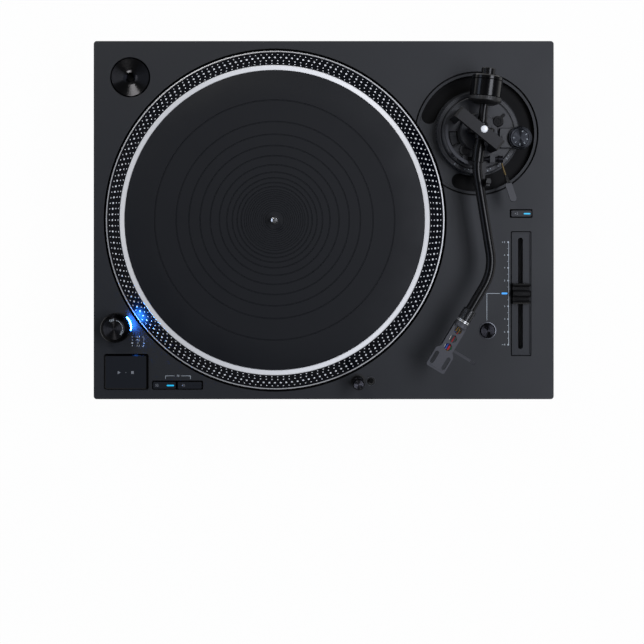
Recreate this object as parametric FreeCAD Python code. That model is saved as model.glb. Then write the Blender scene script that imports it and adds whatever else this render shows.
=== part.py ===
import FreeCAD, Part
import math
import os

from FreeCAD import Vector

# Direct drive turntable with an S-shaped tonearm, in millimetres.
# The origin is on the resting surface under the middle of the plinth.
# +X points to the tonearm side, -Y to the front edge with the buttons, +Z up.

# Plinth
PLINTH_W = 453.0
PLINTH_D = 353.0
DECK_Z = 90.0
PANEL_EDGE = 9.6
PANEL_SKIN = 4.0
PANEL_DRAFT = 0.7
PANEL_WALL = 4.0
SEAM = 0.8
BASE_INSET = 0.7
BASE_DRAFT = 2.4
BASE_BEND_Z = 46.6
BASE_BOTTOM_Z = 33.5
BASE_WALL = 4.0
CORNER_R = 3.0
WELL_DEPTH = 5.5
WELL_FLOOR = 3.0

# Feet
FOOT_X = 194.5
FOOT_Y = 144.5
BOSS_R = 28.7
BOSS_BOTTOM_Z = 26.9
FOOT_NECK_R = 21.5
FOOT_DRUM_R = 27.2
FOOT_DRUM_Z = (3.2, 23.5)
FOOT_SOLE_R = 23.0
FOOT_STUD_R = 5.0
FOOT_STUD_TOP_Z = 42.0
FOOT_FLUTES = 48
FOOT_FLUTE_R = 0.9

# Platter and motor, all on one axis
SPIN_X = -47.6
SPIN_Y = 0.0
PLATTER_R = 166.0
PLATTER_WELL_R = 168.5
BEVEL_TOP_R = 150.8
BEVEL_TOP_Z = DECK_Z + 11.8
RIM_LOW_Z = DECK_Z - 3.5
MAT_R = 145.6
MAT_Z = (DECK_Z + 10.6, DECK_Z + 14.0)
MAT_LIP_Z = DECK_Z + 12.4
SPINDLE_R = 3.575
SPINDLE_NECK_R = 2.9
SPINDLE_TOP_Z = DECK_Z + 25.8
MOTOR_SHAFT_R = 4.0
MOTOR_HOLE_R = 66.0
MAT_GROOVES = (116.4, 95.5, 83.2, 72.3, 62.4, 53.6, 46.4, 41.0, 36.4, 32.5)
MAT_GROOVE_W = 1.3
MAT_GROOVE_DEPTH = 0.5
PLATTER_RIBS = 12
COILS = 12
STATOR_Z = 70.6
STATOR_BOARD_T = 1.6
COIL_T = 3.2
MAGNET_Z = 76.5

# Single adapter in its rest
ADAPTER_X = -190.0
ADAPTER_Y = 140.3
ADAPTER_R = 19.0
ADAPTER_REST_R = 19.75
ADAPTER_BORE_R = 3.7
ADAPTER_REST_DEPTH = 7.0

# Power knob over the strobe lamp
KNOB_X = -202.5
KNOB_Y = -105.0
STROBE_R = 14.2
STROBE_TOP_Z = DECK_Z + 9.4
KNOB_TOP_Z = DECK_Z + 19.6

# Buttons: x0, x1, y0, y1 of each deck opening, and how proud each button is
START_HOLE = (-215.5, -172.0, -166.5, -131.3)
START_PROUD = 2.8
SPEED_HOLE = (-168.5, -118.5, -166.5, -157.5)
SPEED_SPLIT_X = -144.1
SPEED_PROUD = 1.5
DOUBLE_HOLE = (182.7, 205.0, 2.2, 10.7)
DOUBLE_PROUD = 1.6
BUTTON_GAP = 0.8
FRAME_GAP = 0.9
BUTTON_DEPTH = 9.0
RESET_X = 160.9
RESET_Y = -108.5
RESET_R = 7.2
RESET_RING_R = 8.4
RESET_PROUD = 2.6

# Stylus lamp and the button that lets it up
LAMP_X = 33.6
LAMP_Y = -158.0
LAMP_R = 5.4
LAMP_RISE = 27.3
RELEASE_X = 46.4
RELEASE_R = 2.5
RELEASE_PROUD = 3.0

# Pitch fader
PITCH_FRAME = (183.7, 203.9, -133.5, -10.9)
PITCH_X = 193.3
PITCH_Y = -72.0
PITCH_TRAVEL = 50.3
PITCH_SLOT_HALF = 2.4
PITCH_KNOB = (17.0, 20.0, 7.6)

# Tonearm
ARM_X = 150.0
ARM_Y = 85.0
ARM_Z = DECK_Z + 33.0
ARM_REST_DEG = 263.0
SHELL_DEG = 239.0
TUBE_R = 4.6
ARM_BEND_1 = (145.7, 49.5)
ARM_BEND_2 = (161.6, -48.0)
ARM_BEND_R1 = 60.0
ARM_BEND_R2 = 48.0
SHELL_X = 131.7
SHELL_Y = -98.9
WELL_R = 61.0
WELL_BAND_R = 59.4
WELL_GROOVE_DEPTH = 2.6
GROOVE_R = (42.0, 57.0)
GROOVE_DEG = (-110.0, 160.0)
GROOVE_DEPTH = 7.5
MOUNT_BORE_R = 26.0
BASE_RING_R = (36.0, 40.2)
BASE_PLATE_R = 35.2
BASE_PLATE_TOP_Z = DECK_Z + 11.5
TURRET_R = 18.5
TURRET_TOP_Z = DECK_Z + 19.4
BRIDGE_DEG = -39.0
BRIDGE_SIZE = (52.0, 11.0)
BRIDGE_CENTRE = (145.9, 85.8)
BRIDGE_Z = (DECK_Z + 47.0, DECK_Z + 56.0)
BRIDGE_LEG = 7.0
GIMBAL_R = (9.6, 12.8)
GIMBAL_W = 7.0
PIVOT_R = 1.5
PIVOT_GAP = 0.05
WEIGHT_R = 14.7
WEIGHT_SPAN = (32.6, 53.0)
SCALE_R = 15.6
SCALE_SPAN = (25.6, 32.4)
REAR_SHAFT_R = 4.0
FRONT_SLEEVE = (-30.0, -13.6, 5.8)
TUBE_BACK = 14.0
REAR_STUB = (53.4, 60.4, 6.5)
CUE_Y = 59.0
CUE_Z = DECK_Z + 17.0
CUE_X = (133.0, 169.5)
CUE_ROD = 16.6
CUE_CONE = 8.4
CUE_PADDLE = (19.2, 3.2)
LIFTER_R = (30.6, 33.6)
LIFTER_DEG = (168.0, 266.0)
LIFTER_POST_DEG = 222.0
LIFTER_TOP_Z = ARM_Z - TUBE_R - 1.7
REST_AT = 47.5
REST_TUBE_Y = -3.5
REST_LIP_Y = REST_TUBE_Y - TUBE_R - 2.0
CLIP_PIN_Y = REST_LIP_Y - 1.75
CLIP_Z = 6.2
CLIP_PIN_R = 0.8
SKATE_X = 189.8
SKATE_Y = 79.5
SKATE_R = 10.2
SKATE_Z = (DECK_Z + 13.2, DECK_Z + 21.4)
LOCK_X = 169.1
LOCK_Y = 95.6
LOCK_R = 5.3
LOCK_STEM_R = 1.5

# Sockets at the back
REAR_Y = PLINTH_D / 2 - BASE_INSET
SOCKET_POCKET = (92.0, 172.0, 48.0, 72.0)
POCKET_DEPTH = 20.0
JACK_X = (112.0, 132.0)
JACK_Z = 60.0
JACK_R = 4.15
GROUND_X = 154.0
INLET = (-160.0, -132.0, 50.0, 68.0)

UP = Vector(0, 0, 1)


def cyl(x, y, z0, z1, r):
    """An upright cylinder."""
    return Part.makeCylinder(r, z1 - z0, Vector(x, y, z0))


def tube(x, y, z0, z1, outer, inner):
    """An upright tube."""
    return cyl(x, y, z0, z1, outer).cut(cyl(x, y, z0 - 1, z1 + 1, inner))


def bar(x, y, z, dx, dy, dz, length, r):
    """A round bar from a point along a direction."""
    return Part.makeCylinder(r, length, Vector(x, y, z), Vector(dx, dy, dz))


def block(x0, x1, y0, y1, z0, z1):
    return Part.makeBox(x1 - x0, y1 - y0, z1 - z0, Vector(x0, y0, z0))


def rounded_wire(x0, x1, y0, y1, z, r):
    """A rectangle with rounded corners."""
    turn = r * math.sqrt(0.5)
    edges = []
    corners = ((x1 - r, y1 - r, 1, 1), (x0 + r, y1 - r, -1, 1), (x0 + r, y0 + r, -1, -1), (x1 - r, y0 + r, 1, -1))
    starts = []
    for n, (cx, cy, sx, sy) in enumerate(corners):
        side = Vector(cx + sx * r, cy, z)
        end = Vector(cx, cy + sy * r, z)
        first, last = (side, end) if n % 2 == 0 else (end, side)
        starts.append((first, Vector(cx + sx * turn, cy + sy * turn, z), last))
    for n, (first, middle, last) in enumerate(starts):
        edges.append(Part.Arc(first, middle, last).toShape())
        following = starts[(n + 1) % 4][0]
        if last.distanceToPoint(following) > 1e-6:
            edges.append(Part.LineSegment(last, following).toShape())
    return Part.Wire(edges)


def rounded_block(x0, x1, y0, y1, z0, z1, r):
    face = Part.Face(rounded_wire(x0, x1, y0, y1, z0, r))
    return face.extrude(Vector(0, 0, z1 - z0))


def tapered_block(low, high, z0, z1, r):
    """A rounded block between two rectangles (x0, x1, y0, y1) of the same corner radius."""
    return Part.makeLoft([rounded_wire(*low, z0, r), rounded_wire(*high, z1, r)], True, True)


def shrink(box, gap):
    return (box[0] + gap, box[1] - gap, box[2] + gap, box[3] - gap)


def revolved(points, x, y):
    """A solid turned about an upright axis from a closed outline of (radius, height)."""
    outline = Part.makePolygon([Vector(x + r, y, z) for r, z in points + points[:1]])
    return Part.Face(outline).revolve(Vector(x, y, 0), UP, 360)


def turned(points):
    """A solid turned about the X axis from a closed outline of (place along X, radius)."""
    outline = Part.makePolygon([Vector(x, r, 0) for x, r in points + points[:1]])
    return Part.Face(outline).revolve(Vector(0, 0, 0), Vector(1, 0, 0), 360)


def sector(x, y, z0, z1, inner, outer, start_deg, end_deg):
    """Part of an upright ring between two angles."""
    span = end_deg - start_deg
    ring = Part.makeCylinder(outer, z1 - z0, Vector(x, y, z0), UP, span)
    ring.rotate(Vector(x, y, z0), UP, start_deg)
    return ring.cut(cyl(x, y, z0 - 1, z1 + 1, inner))


def around(x, y, radius, count, start_deg=0.0):
    """Places evenly spaced on a circle."""
    for n in range(count):
        angle = math.radians(start_deg + 360.0 * n / count)
        yield x + radius * math.cos(angle), y + radius * math.sin(angle), math.degrees(angle)


def polar(radius, deg):
    return ARM_X + radius * math.cos(math.radians(deg)), ARM_Y + radius * math.sin(math.radians(deg))


def along_arm(shape, deg=ARM_REST_DEG - 180.0):
    """Moves a shape made along +X from the arm's pivot, to point backwards along the arm."""
    shape.rotate(Vector(0, 0, 0), UP, deg)
    shape.translate(Vector(ARM_X, ARM_Y, ARM_Z))
    return shape


def along_shell(shape):
    """Moves a shape made along +X from the headshell's back end to its place."""
    shape.rotate(Vector(0, 0, 0), UP, SHELL_DEG)
    shape.translate(Vector(SHELL_X, SHELL_Y, ARM_Z))
    return shape


def screw_places():
    """Where the case screws hold the base to the deck."""
    return [(-207.0, 90.0), (-207.0, -78.0), (-115.0, 160.0), (60.0, 160.0), (207.0, 110.0), (207.0, 25.0),
            (165.0, -45.0), (140.0, -158.0), (-110.0, -161.0)]


def deck_outline():
    half_w, half_d = PLINTH_W / 2, PLINTH_D / 2
    low = (-half_w, half_w, -half_d, half_d)
    return tapered_block(low, shrink(low, PANEL_DRAFT), DECK_Z - PANEL_EDGE, DECK_Z, CORNER_R)


def arm_groove(z0, z1, spread):
    """The curved trough round the arm base, with round ends."""
    inner, outer = GROOVE_R[0] - spread, GROOVE_R[1] + spread
    middle = (inner + outer) / 2
    trough = sector(ARM_X, ARM_Y, z0, z1, inner, outer, *GROOVE_DEG)
    for deg in GROOVE_DEG:
        x, y = polar(middle, deg)
        trough = trough.fuse(cyl(x, y, z0, z1, (outer - inner) / 2))
    return trough


def top_panel():
    """The cast deck: a shallow tray upside down, with wells, openings and screw bosses."""
    low_z = DECK_Z - PANEL_EDGE
    under_z = DECK_Z - PANEL_SKIN
    panel = deck_outline()
    edge = (-PLINTH_W / 2, PLINTH_W / 2, -PLINTH_D / 2, PLINTH_D / 2)
    panel = panel.cut(rounded_block(*shrink(edge, PANEL_WALL), low_z - 1, under_z, CORNER_R))
    floor_z = DECK_Z - WELL_DEPTH - WELL_FLOOR
    extra = [cyl(SPIN_X, SPIN_Y, floor_z, under_z, PLATTER_WELL_R + PANEL_SKIN - 0.2)]
    extra.append(arm_groove(low_z, under_z, 2.5))
    extra.append(cyl(ARM_X, ARM_Y, low_z, under_z, 40.0))
    extra.append(cyl(ADAPTER_X, ADAPTER_Y, low_z, under_z, ADAPTER_REST_R + 2.5))
    for x, y in screw_places():
        extra.append(cyl(x, y, low_z, under_z, 4.6))
    panel = panel.fuse(extra)
    cuts = [cyl(SPIN_X, SPIN_Y, DECK_Z - WELL_DEPTH, DECK_Z + 1, PLATTER_WELL_R)]
    cuts.append(cyl(SPIN_X, SPIN_Y, low_z - 1, DECK_Z, MOTOR_HOLE_R))
    cuts.append(arm_groove(DECK_Z - GROOVE_DEPTH, DECK_Z + 1, 0))
    cuts.append(tube(ARM_X, ARM_Y, DECK_Z - 0.8, DECK_Z + 1, WELL_R, GROOVE_R[1] - 0.5))
    cuts.append(tube(ARM_X, ARM_Y, DECK_Z - WELL_GROOVE_DEPTH, DECK_Z, WELL_R, WELL_BAND_R))
    cuts.append(cyl(ARM_X, ARM_Y, low_z - 1, DECK_Z + 1, 33.6))
    cuts.append(cyl(ADAPTER_X, ADAPTER_Y, DECK_Z - ADAPTER_REST_DEPTH, DECK_Z + 1, ADAPTER_REST_R))
    cuts.append(rounded_block(*START_HOLE, low_z - 1, DECK_Z + 1, 2.0))
    cuts.append(rounded_block(*SPEED_HOLE, low_z - 1, DECK_Z + 1, 1.2))
    cuts.append(rounded_block(*DOUBLE_HOLE, low_z - 1, DECK_Z + 1, 1.2))
    cuts.append(rounded_block(*PITCH_FRAME, DECK_Z - 3.5, DECK_Z + 1, 1.4))
    cuts.append(rounded_block(*shrink(PITCH_FRAME, 2.0), low_z - 1, DECK_Z, 1.4))
    cuts.append(cyl(RESET_X, RESET_Y, low_z - 1, DECK_Z + 1, RESET_RING_R))
    cuts.append(cyl(LAMP_X, LAMP_Y, low_z - 1, DECK_Z + 1, LAMP_R + 1.1))
    cuts.append(cyl(RELEASE_X, LAMP_Y, low_z - 1, DECK_Z + 1, RELEASE_R + 0.35))
    cuts.append(cyl(KNOB_X, KNOB_Y, low_z - 1, DECK_Z + 1, 8.0))
    light = rounded_block(174.7, 180.4, PITCH_Y - 0.9, PITCH_Y + 0.9, low_z - 1, DECK_Z + 1, 0.6)
    cuts.append(light)
    for x, y in screw_places():
        cuts.append(cyl(x, y, low_z - 1, under_z, 1.85))
    return panel.cut(cuts)


def tub(inset, floor_z, bend_r):
    """A drafted tub: its long and its short section, each drawn out and crossed."""
    def section(half, span, across):
        top_z = DECK_Z - PANEL_EDGE - SEAM
        top, bend = half - inset, half - inset - BASE_DRAFT
        turn = bend_r * (1 - math.sqrt(0.5))
        low = bend - bend_r
        points = [(-top, top_z), (top, top_z), (bend, floor_z + bend_r)]
        right = [(bend, floor_z + bend_r), (bend - turn, floor_z + turn), (low, floor_z)]

        def at(u, z):
            return Vector(-span, u, z) if across else Vector(u, -span, z)

        edges = [Part.LineSegment(at(*points[0]), at(*points[1])).toShape()]
        edges.append(Part.LineSegment(at(*points[1]), at(*points[2])).toShape())
        edges.append(Part.Arc(*[at(*p) for p in right]).toShape())
        edges.append(Part.LineSegment(at(low, floor_z), at(-low, floor_z)).toShape())
        edges.append(Part.Arc(*[at(-u, z) for u, z in reversed(right)]).toShape())
        edges.append(Part.LineSegment(at(-bend, floor_z + bend_r), at(*points[0])).toShape())
        out = Vector(2 * span, 0, 0) if across else Vector(0, 2 * span, 0)
        return Part.Face(Part.Wire(edges)).extrude(out)

    long_way = section(PLINTH_W / 2, PLINTH_D / 2, False)
    short_way = section(PLINTH_D / 2, PLINTH_W / 2, True)
    return long_way.common(short_way)


def feet_places():
    return {"front_left": (-FOOT_X, -FOOT_Y), "front_right": (FOOT_X, -FOOT_Y),
            "rear_left": (-FOOT_X, FOOT_Y), "rear_right": (FOOT_X, FOOT_Y)}


def base_shell():
    """The moulded base: a tub with foot bosses, motor and arm bulges, posts and a socket pocket."""
    top_z = DECK_Z - PANEL_EDGE - SEAM
    floor_z = BASE_BOTTOM_Z + BASE_WALL
    shell = tub(BASE_INSET, BASE_BOTTOM_Z, BASE_BEND_Z - BASE_BOTTOM_Z)
    outside = [cyl(x, y, BOSS_BOTTOM_Z, BASE_BEND_Z + 6, BOSS_R) for x, y in feet_places().values()]
    motor = [(0, BASE_BOTTOM_Z + 1), (74.0, BASE_BOTTOM_Z + 1), (74.0, 27.0), (68.0, 20.5), (0, 20.5)]
    outside.append(revolved(motor, SPIN_X, SPIN_Y))
    low, high = (147.0, 187.0, 60.0, 110.0), (143.0, 191.0, 56.0, 114.0)
    outside.append(tapered_block(low, high, 14.5, BASE_BOTTOM_Z + 1, 9.0))
    shell = shell.fuse(outside)
    shell = shell.cut(tub(BASE_INSET + BASE_WALL, floor_z, 9.0))
    inside = [cyl(x, y, BASE_BOTTOM_Z, 46.0, 12.0) for x, y in feet_places().values()]
    inside.extend(cyl(x, y, BASE_BOTTOM_Z, top_z, 4.6) for x, y in screw_places())
    inside.append(tube(SPIN_X, SPIN_Y, BASE_BOTTOM_Z, STATOR_Z, 62.0, 58.5))
    inside.append(cyl(SPIN_X, SPIN_Y, BASE_BOTTOM_Z, 54.0, 24.0))
    x0, x1, z0, z1 = SOCKET_POCKET
    inner_y = REAR_Y - POCKET_DEPTH
    inside.append(block(x0 - 3, x1 + 3, inner_y - 3, REAR_Y - 2, z0 - 3, z1 + 3))
    inside.append(block(INLET[0] - 3, INLET[1] + 3, REAR_Y - 25, REAR_Y - 2, INLET[2] - 3, INLET[3] + 3))
    shell = shell.fuse(inside)
    cuts = [cyl(x, y, BOSS_BOTTOM_Z - 1, 44.0, FOOT_STUD_R + 0.08) for x, y in feet_places().values()]
    cuts.append(block(x0, x1, inner_y, REAR_Y + 5, z0, z1))
    cuts.append(rounded_opening(INLET, REAR_Y - 30, REAR_Y + 5))
    for x, y in screw_places():
        cuts.append(cyl(x, y, BASE_BOTTOM_Z - 1, top_z + 1, 2.1))
        cuts.append(cyl(x, y, BASE_BOTTOM_Z - 1, BASE_BOTTOM_Z + 3, 3.6))
    cuts.append(cyl(SPIN_X, SPIN_Y, 40.0, 60.0, 11.2))
    cuts.append(block(x0 + 3, x1 - 3, inner_y - 4, inner_y + 1, z0 + 3, z1 - 3))
    return shell.cut(cuts)


def rounded_opening(box, y0, y1):
    """A hole with round corners through the rear wall, from (x0, x1, z0, z1)."""
    x0, x1, z0, z1 = box
    hole = rounded_block(x0, x1, z0, z1, 0, y1 - y0, 2.5)
    hole.rotate(Vector(0, 0, 0), Vector(1, 0, 0), 90)
    hole.translate(Vector(0, y1, 0))
    return hole


def foot(x, y):
    """A levelling foot: fluted drum, neck, rounded sole and the stud it turns on."""
    z0, z1 = FOOT_DRUM_Z
    profile = [(0, 0), (FOOT_SOLE_R - 4, 0), (FOOT_SOLE_R, 1.0), (FOOT_DRUM_R - 1, z0 - 1.2), (FOOT_DRUM_R, z0)]
    profile += [(FOOT_DRUM_R, z1 - 0.6), (FOOT_DRUM_R - 0.6, z1), (FOOT_NECK_R, z1)]
    profile += [(FOOT_NECK_R, BOSS_BOTTOM_Z - 0.3), (FOOT_STUD_R, BOSS_BOTTOM_Z - 0.3)]
    profile += [(FOOT_STUD_R, FOOT_STUD_TOP_Z), (0, FOOT_STUD_TOP_Z)]
    body = revolved(profile, x, y)
    flutes = [cyl(fx, fy, z0 + 0.6, z1 + 1, FOOT_FLUTE_R)
              for fx, fy, _ in around(x, y, FOOT_DRUM_R + 0.35, FOOT_FLUTES)]
    return body.cut(flutes)


def case_screws():
    """Screws from below, through the base posts into the deck's bosses."""
    screws = []
    for x, y in screw_places():
        head = cyl(x, y, BASE_BOTTOM_Z + 0.4, BASE_BOTTOM_Z + 2.9, 3.2)
        head = head.fuse(cyl(x, y, BASE_BOTTOM_Z + 2.8, DECK_Z - PANEL_SKIN - 1.0, 1.8))
        socket = block(x - 2.4, x + 2.4, y - 0.4, y + 0.4, BASE_BOTTOM_Z, BASE_BOTTOM_Z + 1.6)
        cross = block(x - 0.4, x + 0.4, y - 2.4, y + 2.4, BASE_BOTTOM_Z, BASE_BOTTOM_Z + 1.6)
        screws.append(head.cut([socket, cross]))
    return Part.makeCompound(screws)


def platter():
    """The cast platter: bevelled strobe rim, mat seat, hub, inner wall and ribs underneath."""
    seat_z = MAT_Z[0]
    deck = seat_z - 4.5
    outline = [(MOTOR_SHAFT_R + 0.3, seat_z), (MAT_R + 0.4, seat_z), (MAT_R + 0.4, MAT_LIP_Z)]
    outline += [(BEVEL_TOP_R - 0.8, MAT_LIP_Z), (BEVEL_TOP_R, BEVEL_TOP_Z), (PLATTER_R - 1.6, DECK_Z + 1.6)]
    outline += [(PLATTER_R, DECK_Z + 1.3), (PLATTER_R, RIM_LOW_Z), (PLATTER_R - 5.5, RIM_LOW_Z)]
    outline += [(PLATTER_R - 8.5, DECK_Z + 0.5), (BEVEL_TOP_R - 6, deck), (60.5, deck), (60.5, 84.0)]
    outline += [(56.5, 84.0), (56.5, deck), (18.0, deck), (16.0, 86.0), (MOTOR_SHAFT_R + 0.3, 86.0)]
    body = revolved(outline, SPIN_X, SPIN_Y)
    ribs = []
    for _, _, deg in around(0, 0, 1, PLATTER_RIBS):
        rib = block(58.0, BEVEL_TOP_R - 5, -1.5, 1.5, deck - 3.5, deck + 1)
        rib.rotate(Vector(0, 0, 0), UP, deg)
        rib.translate(Vector(SPIN_X, SPIN_Y, 0))
        ribs.append(rib)
    holes = [cyl(x, y, deck - 2, seat_z + 1, 9.0) for x, y, _ in around(SPIN_X, SPIN_Y, 35.0, 2)]
    return body.fuse(ribs).cut(holes)


def rubber_mat():
    """The mat: a sunk label area, a raised rim and concentric grooves."""
    low, high = MAT_Z
    rim = MAT_R - 1.2
    outline = [(SPINDLE_R + 0.35, low + 0.05), (MAT_R, low + 0.05), (MAT_R, high - 0.8), (rim, high)]
    for middle in MAT_GROOVES:
        half = MAT_GROOVE_W / 2
        outline += [(middle + half, high), (middle, high - MAT_GROOVE_DEPTH), (middle - half, high)]
    outline += [(SPINDLE_R + 0.35, high)]
    return revolved(outline, SPIN_X, SPIN_Y)


def spindle():
    """The centre spindle, its platter seat and the motor shaft below, in one turned piece."""
    dome = 2.2
    outline = [(0, 46.0), (2.0, 46.0), (MOTOR_SHAFT_R, 48.0), (MOTOR_SHAFT_R, 84.0), (12.0, 84.0), (12.0, 86.0)]
    outline += [(MOTOR_SHAFT_R + 0.2, 86.0), (MOTOR_SHAFT_R + 0.2, MAT_Z[0]), (SPINDLE_NECK_R, MAT_Z[0])]
    outline += [(SPINDLE_NECK_R, MAT_Z[1] - 0.1), (SPINDLE_R, MAT_Z[1] - 0.1)]
    outline += [(SPINDLE_R, SPINDLE_TOP_Z - dome), (SPINDLE_R * 0.82, SPINDLE_TOP_Z - 0.9)]
    outline += [(SPINDLE_R * 0.45, SPINDLE_TOP_Z - 0.2), (0, SPINDLE_TOP_Z)]
    return revolved(outline, SPIN_X, SPIN_Y)


def rotor_magnet():
    """The ring magnet under the platter's inner wall, with its steel back."""
    ring = tube(SPIN_X, SPIN_Y, MAGNET_Z, 81.5, 60.0, 30.0)
    back = tube(SPIN_X, SPIN_Y, 81.5, 84.0, 60.3, 28.0)
    return ring.fuse(back)


def stator_board():
    """The round motor board on its ring of the base."""
    return tube(SPIN_X, SPIN_Y, STATOR_Z, STATOR_Z + STATOR_BOARD_T, 63.0, 21.0)


def stator_coils():
    """Flat coils without cores, in a ring under the magnet."""
    coils = []
    low = STATOR_Z + STATOR_BOARD_T
    for _, _, deg in around(0, 0, 1, COILS):
        winding = rounded_block(31.0, 56.0, -7.5, 7.5, low, low + COIL_T, 4.5)
        winding = winding.cut(rounded_block(38.0, 50.0, -2.5, 2.5, low - 1, low + COIL_T + 1, 2.0))
        winding.rotate(Vector(0, 0, 0), UP, deg)
        winding.translate(Vector(SPIN_X, SPIN_Y, 0))
        coils.append(winding)
    return Part.makeCompound(coils)


def bearing_housing():
    """The brass bush that the motor shaft turns in, with its flange and thrust end."""
    outline = [(0, 42.0), (11.0, 42.0), (11.0, 54.0), (19.5, 54.0), (19.5, 58.0), (11.0, 58.0), (9.0, 60.0)]
    outline += [(9.0, 82.0), (MOTOR_SHAFT_R + 0.05, 82.0), (MOTOR_SHAFT_R + 0.05, 45.9), (0, 45.9)]
    return revolved(outline, SPIN_X, SPIN_Y)


def board(x0, x1, y0, y1, z, parts):
    """A circuit board on four pillars, with parts given as (x0, x1, y0, y1, height)."""
    shape = block(x0, x1, y0, y1, z, z + 1.6)
    for a0, a1, b0, b1, height in parts:
        shape = shape.fuse(block(a0, a1, b0, b1, z + 1.5, z + 1.6 + height))
    floor_z = BASE_BOTTOM_Z + BASE_WALL
    pillars = [cyl(x, y, floor_z, z + 0.1, 3.0) for x in (x0 + 6, x1 - 6) for y in (y0 + 6, y1 - 6)]
    return shape.fuse(pillars)


def control_board():
    """The board that runs the motor, with its chips, heat sink and socket strip."""
    parts = [(50, 64, -20, -6, 1.6), (74, 84, 0, 10, 1.4), (92, 104, -32, -20, 12.0), (40, 46, 14, 34, 9.0)]
    shape = board(32.0, 112.0, -44.0, 44.0, 46.0, parts)
    fins = [block(70 + 3 * n, 71.4 + 3 * n, 20, 38, 47.5, 62.0) for n in range(7)]
    return shape.fuse(fins)


def power_supply():
    """The mains board: transformer, can capacitors and a fuse."""
    parts = [(-186, -158, 84, 110, 24.0), (-150, -130, 98, 104, 7.0)]
    shape = board(-194.0, -124.0, 66.0, 118.0, 46.0, parts)
    for x, y in ((-144.0, 76.0), (-133.0, 76.0), (-144.0, 87.0)):
        shape = shape.fuse(cyl(x, y, 47.5, 66.0, 4.6))
    return shape


def ac_inlet():
    """The mains inlet in the rear wall, with two pins in its well."""
    x0, x1, z0, z1 = INLET
    body = rounded_opening((x0, x1, z0, z1), REAR_Y - 24, REAR_Y - 3)
    middle_x, middle_z = (x0 + x1) / 2, (z0 + z1) / 2
    well = rounded_opening((x0 + 4, x1 - 4, z0 + 3.5, z1 - 3.5), REAR_Y - 19, REAR_Y)
    pins = [bar(middle_x + s * 4.3, REAR_Y - 20, middle_z, 0, 1, 0, 13.0, 1.2) for s in (-1, 1)]
    return body.cut(well).fuse(pins)


def terminal_plate():
    """The plate at the back of the socket pocket."""
    x0, x1, z0, z1 = SOCKET_POCKET
    y = REAR_Y - POCKET_DEPTH
    plate = block(x0, x1, y, y + 2.0, z0, z1)
    holes = [bar(x, y - 5, JACK_Z, 0, 1, 0, 12, 3.05) for x in JACK_X]
    holes.append(bar(GROUND_X, y - 5, JACK_Z, 0, 1, 0, 12, 2.0))
    return plate.cut(holes)


def phono_jacks():
    """Two phono sockets: flange, sleeve and the hole for the plug's pin."""
    y = REAR_Y - POCKET_DEPTH
    jacks = []
    for x in JACK_X:
        body = bar(x, y - 6, JACK_Z, 0, 1, 0, 8.2, 3.0)
        body = body.fuse(bar(x, y + 2.0, JACK_Z, 0, 1, 0, 2.0, 5.6))
        body = body.fuse(bar(x, y + 4.0, JACK_Z, 0, 1, 0, 9.0, JACK_R))
        jacks.append(body.cut(bar(x, y + 3.0, JACK_Z, 0, 1, 0, 20, 1.6)))
    return Part.makeCompound(jacks)


def ground_terminal():
    """The earth screw: a fluted thumb nut on its stud."""
    y = REAR_Y - POCKET_DEPTH
    nut = bar(GROUND_X, y + 5.0, JACK_Z, 0, 1, 0, 6.0, 5.0)
    stud = bar(GROUND_X, y - 5, JACK_Z, 0, 1, 0, 11.0, 1.95)
    collar = bar(GROUND_X, y + 2.1, JACK_Z, 0, 1, 0, 1.4, 4.6)
    flutes = []
    for x, z, _ in around(GROUND_X, JACK_Z, 5.3, 16):
        flutes.append(bar(x, y + 4, z, 0, 1, 0, 8.0, 0.6))
    return nut.cut(flutes).fuse([stud, collar])


def adapter_45():
    """The cone-topped adapter for singles, with its bore."""
    low = DECK_Z - ADAPTER_REST_DEPTH + 0.05
    outline = [(ADAPTER_BORE_R, low), (ADAPTER_R - 1, low), (ADAPTER_R, low + 1), (ADAPTER_R, DECK_Z - 0.8)]
    outline += [(ADAPTER_R - 0.6, DECK_Z + 0.1), (7.0, DECK_Z - 1.6), (5.0, DECK_Z - 1.2)]
    outline += [(ADAPTER_BORE_R, DECK_Z - 1.8)]
    return revolved(outline, ADAPTER_X, ADAPTER_Y)


def strobe_housing():
    """The fixed lower half of the knob stack, with the window's opening towards the platter."""
    outline = [(3.6, DECK_Z - 12), (7.6, DECK_Z - 12), (7.6, DECK_Z), (STROBE_R, DECK_Z), (STROBE_R, STROBE_TOP_Z)]
    outline += [(3.6, STROBE_TOP_Z)]
    body = revolved(outline, KNOB_X, KNOB_Y)
    return body.cut(strobe_window_space())


def strobe_window_space():
    """The curved space of the strobe window."""
    return sector(KNOB_X, KNOB_Y, DECK_Z + 1.2, STROBE_TOP_Z - 1.0, 11.5, STROBE_R + 1.0, -28.0, 52.0)


def strobe_window():
    """The clear curved window that lights the dots."""
    return strobe_window_space().common(cyl(KNOB_X, KNOB_Y, DECK_Z, DECK_Z + 20, STROBE_R - 0.05))


def power_knob():
    """The round switch knob with a chamfered top and its spindle down through the housing."""
    low = STROBE_TOP_Z + 0.4
    outline = [(0, DECK_Z - 10), (3.5, DECK_Z - 10), (3.5, low), (13.9, low), (13.9, KNOB_TOP_Z - 3.4)]
    outline += [(13.0, KNOB_TOP_Z - 2.0), (10.4, KNOB_TOP_Z), (0, KNOB_TOP_Z)]
    return revolved(outline, KNOB_X, KNOB_Y)


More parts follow.
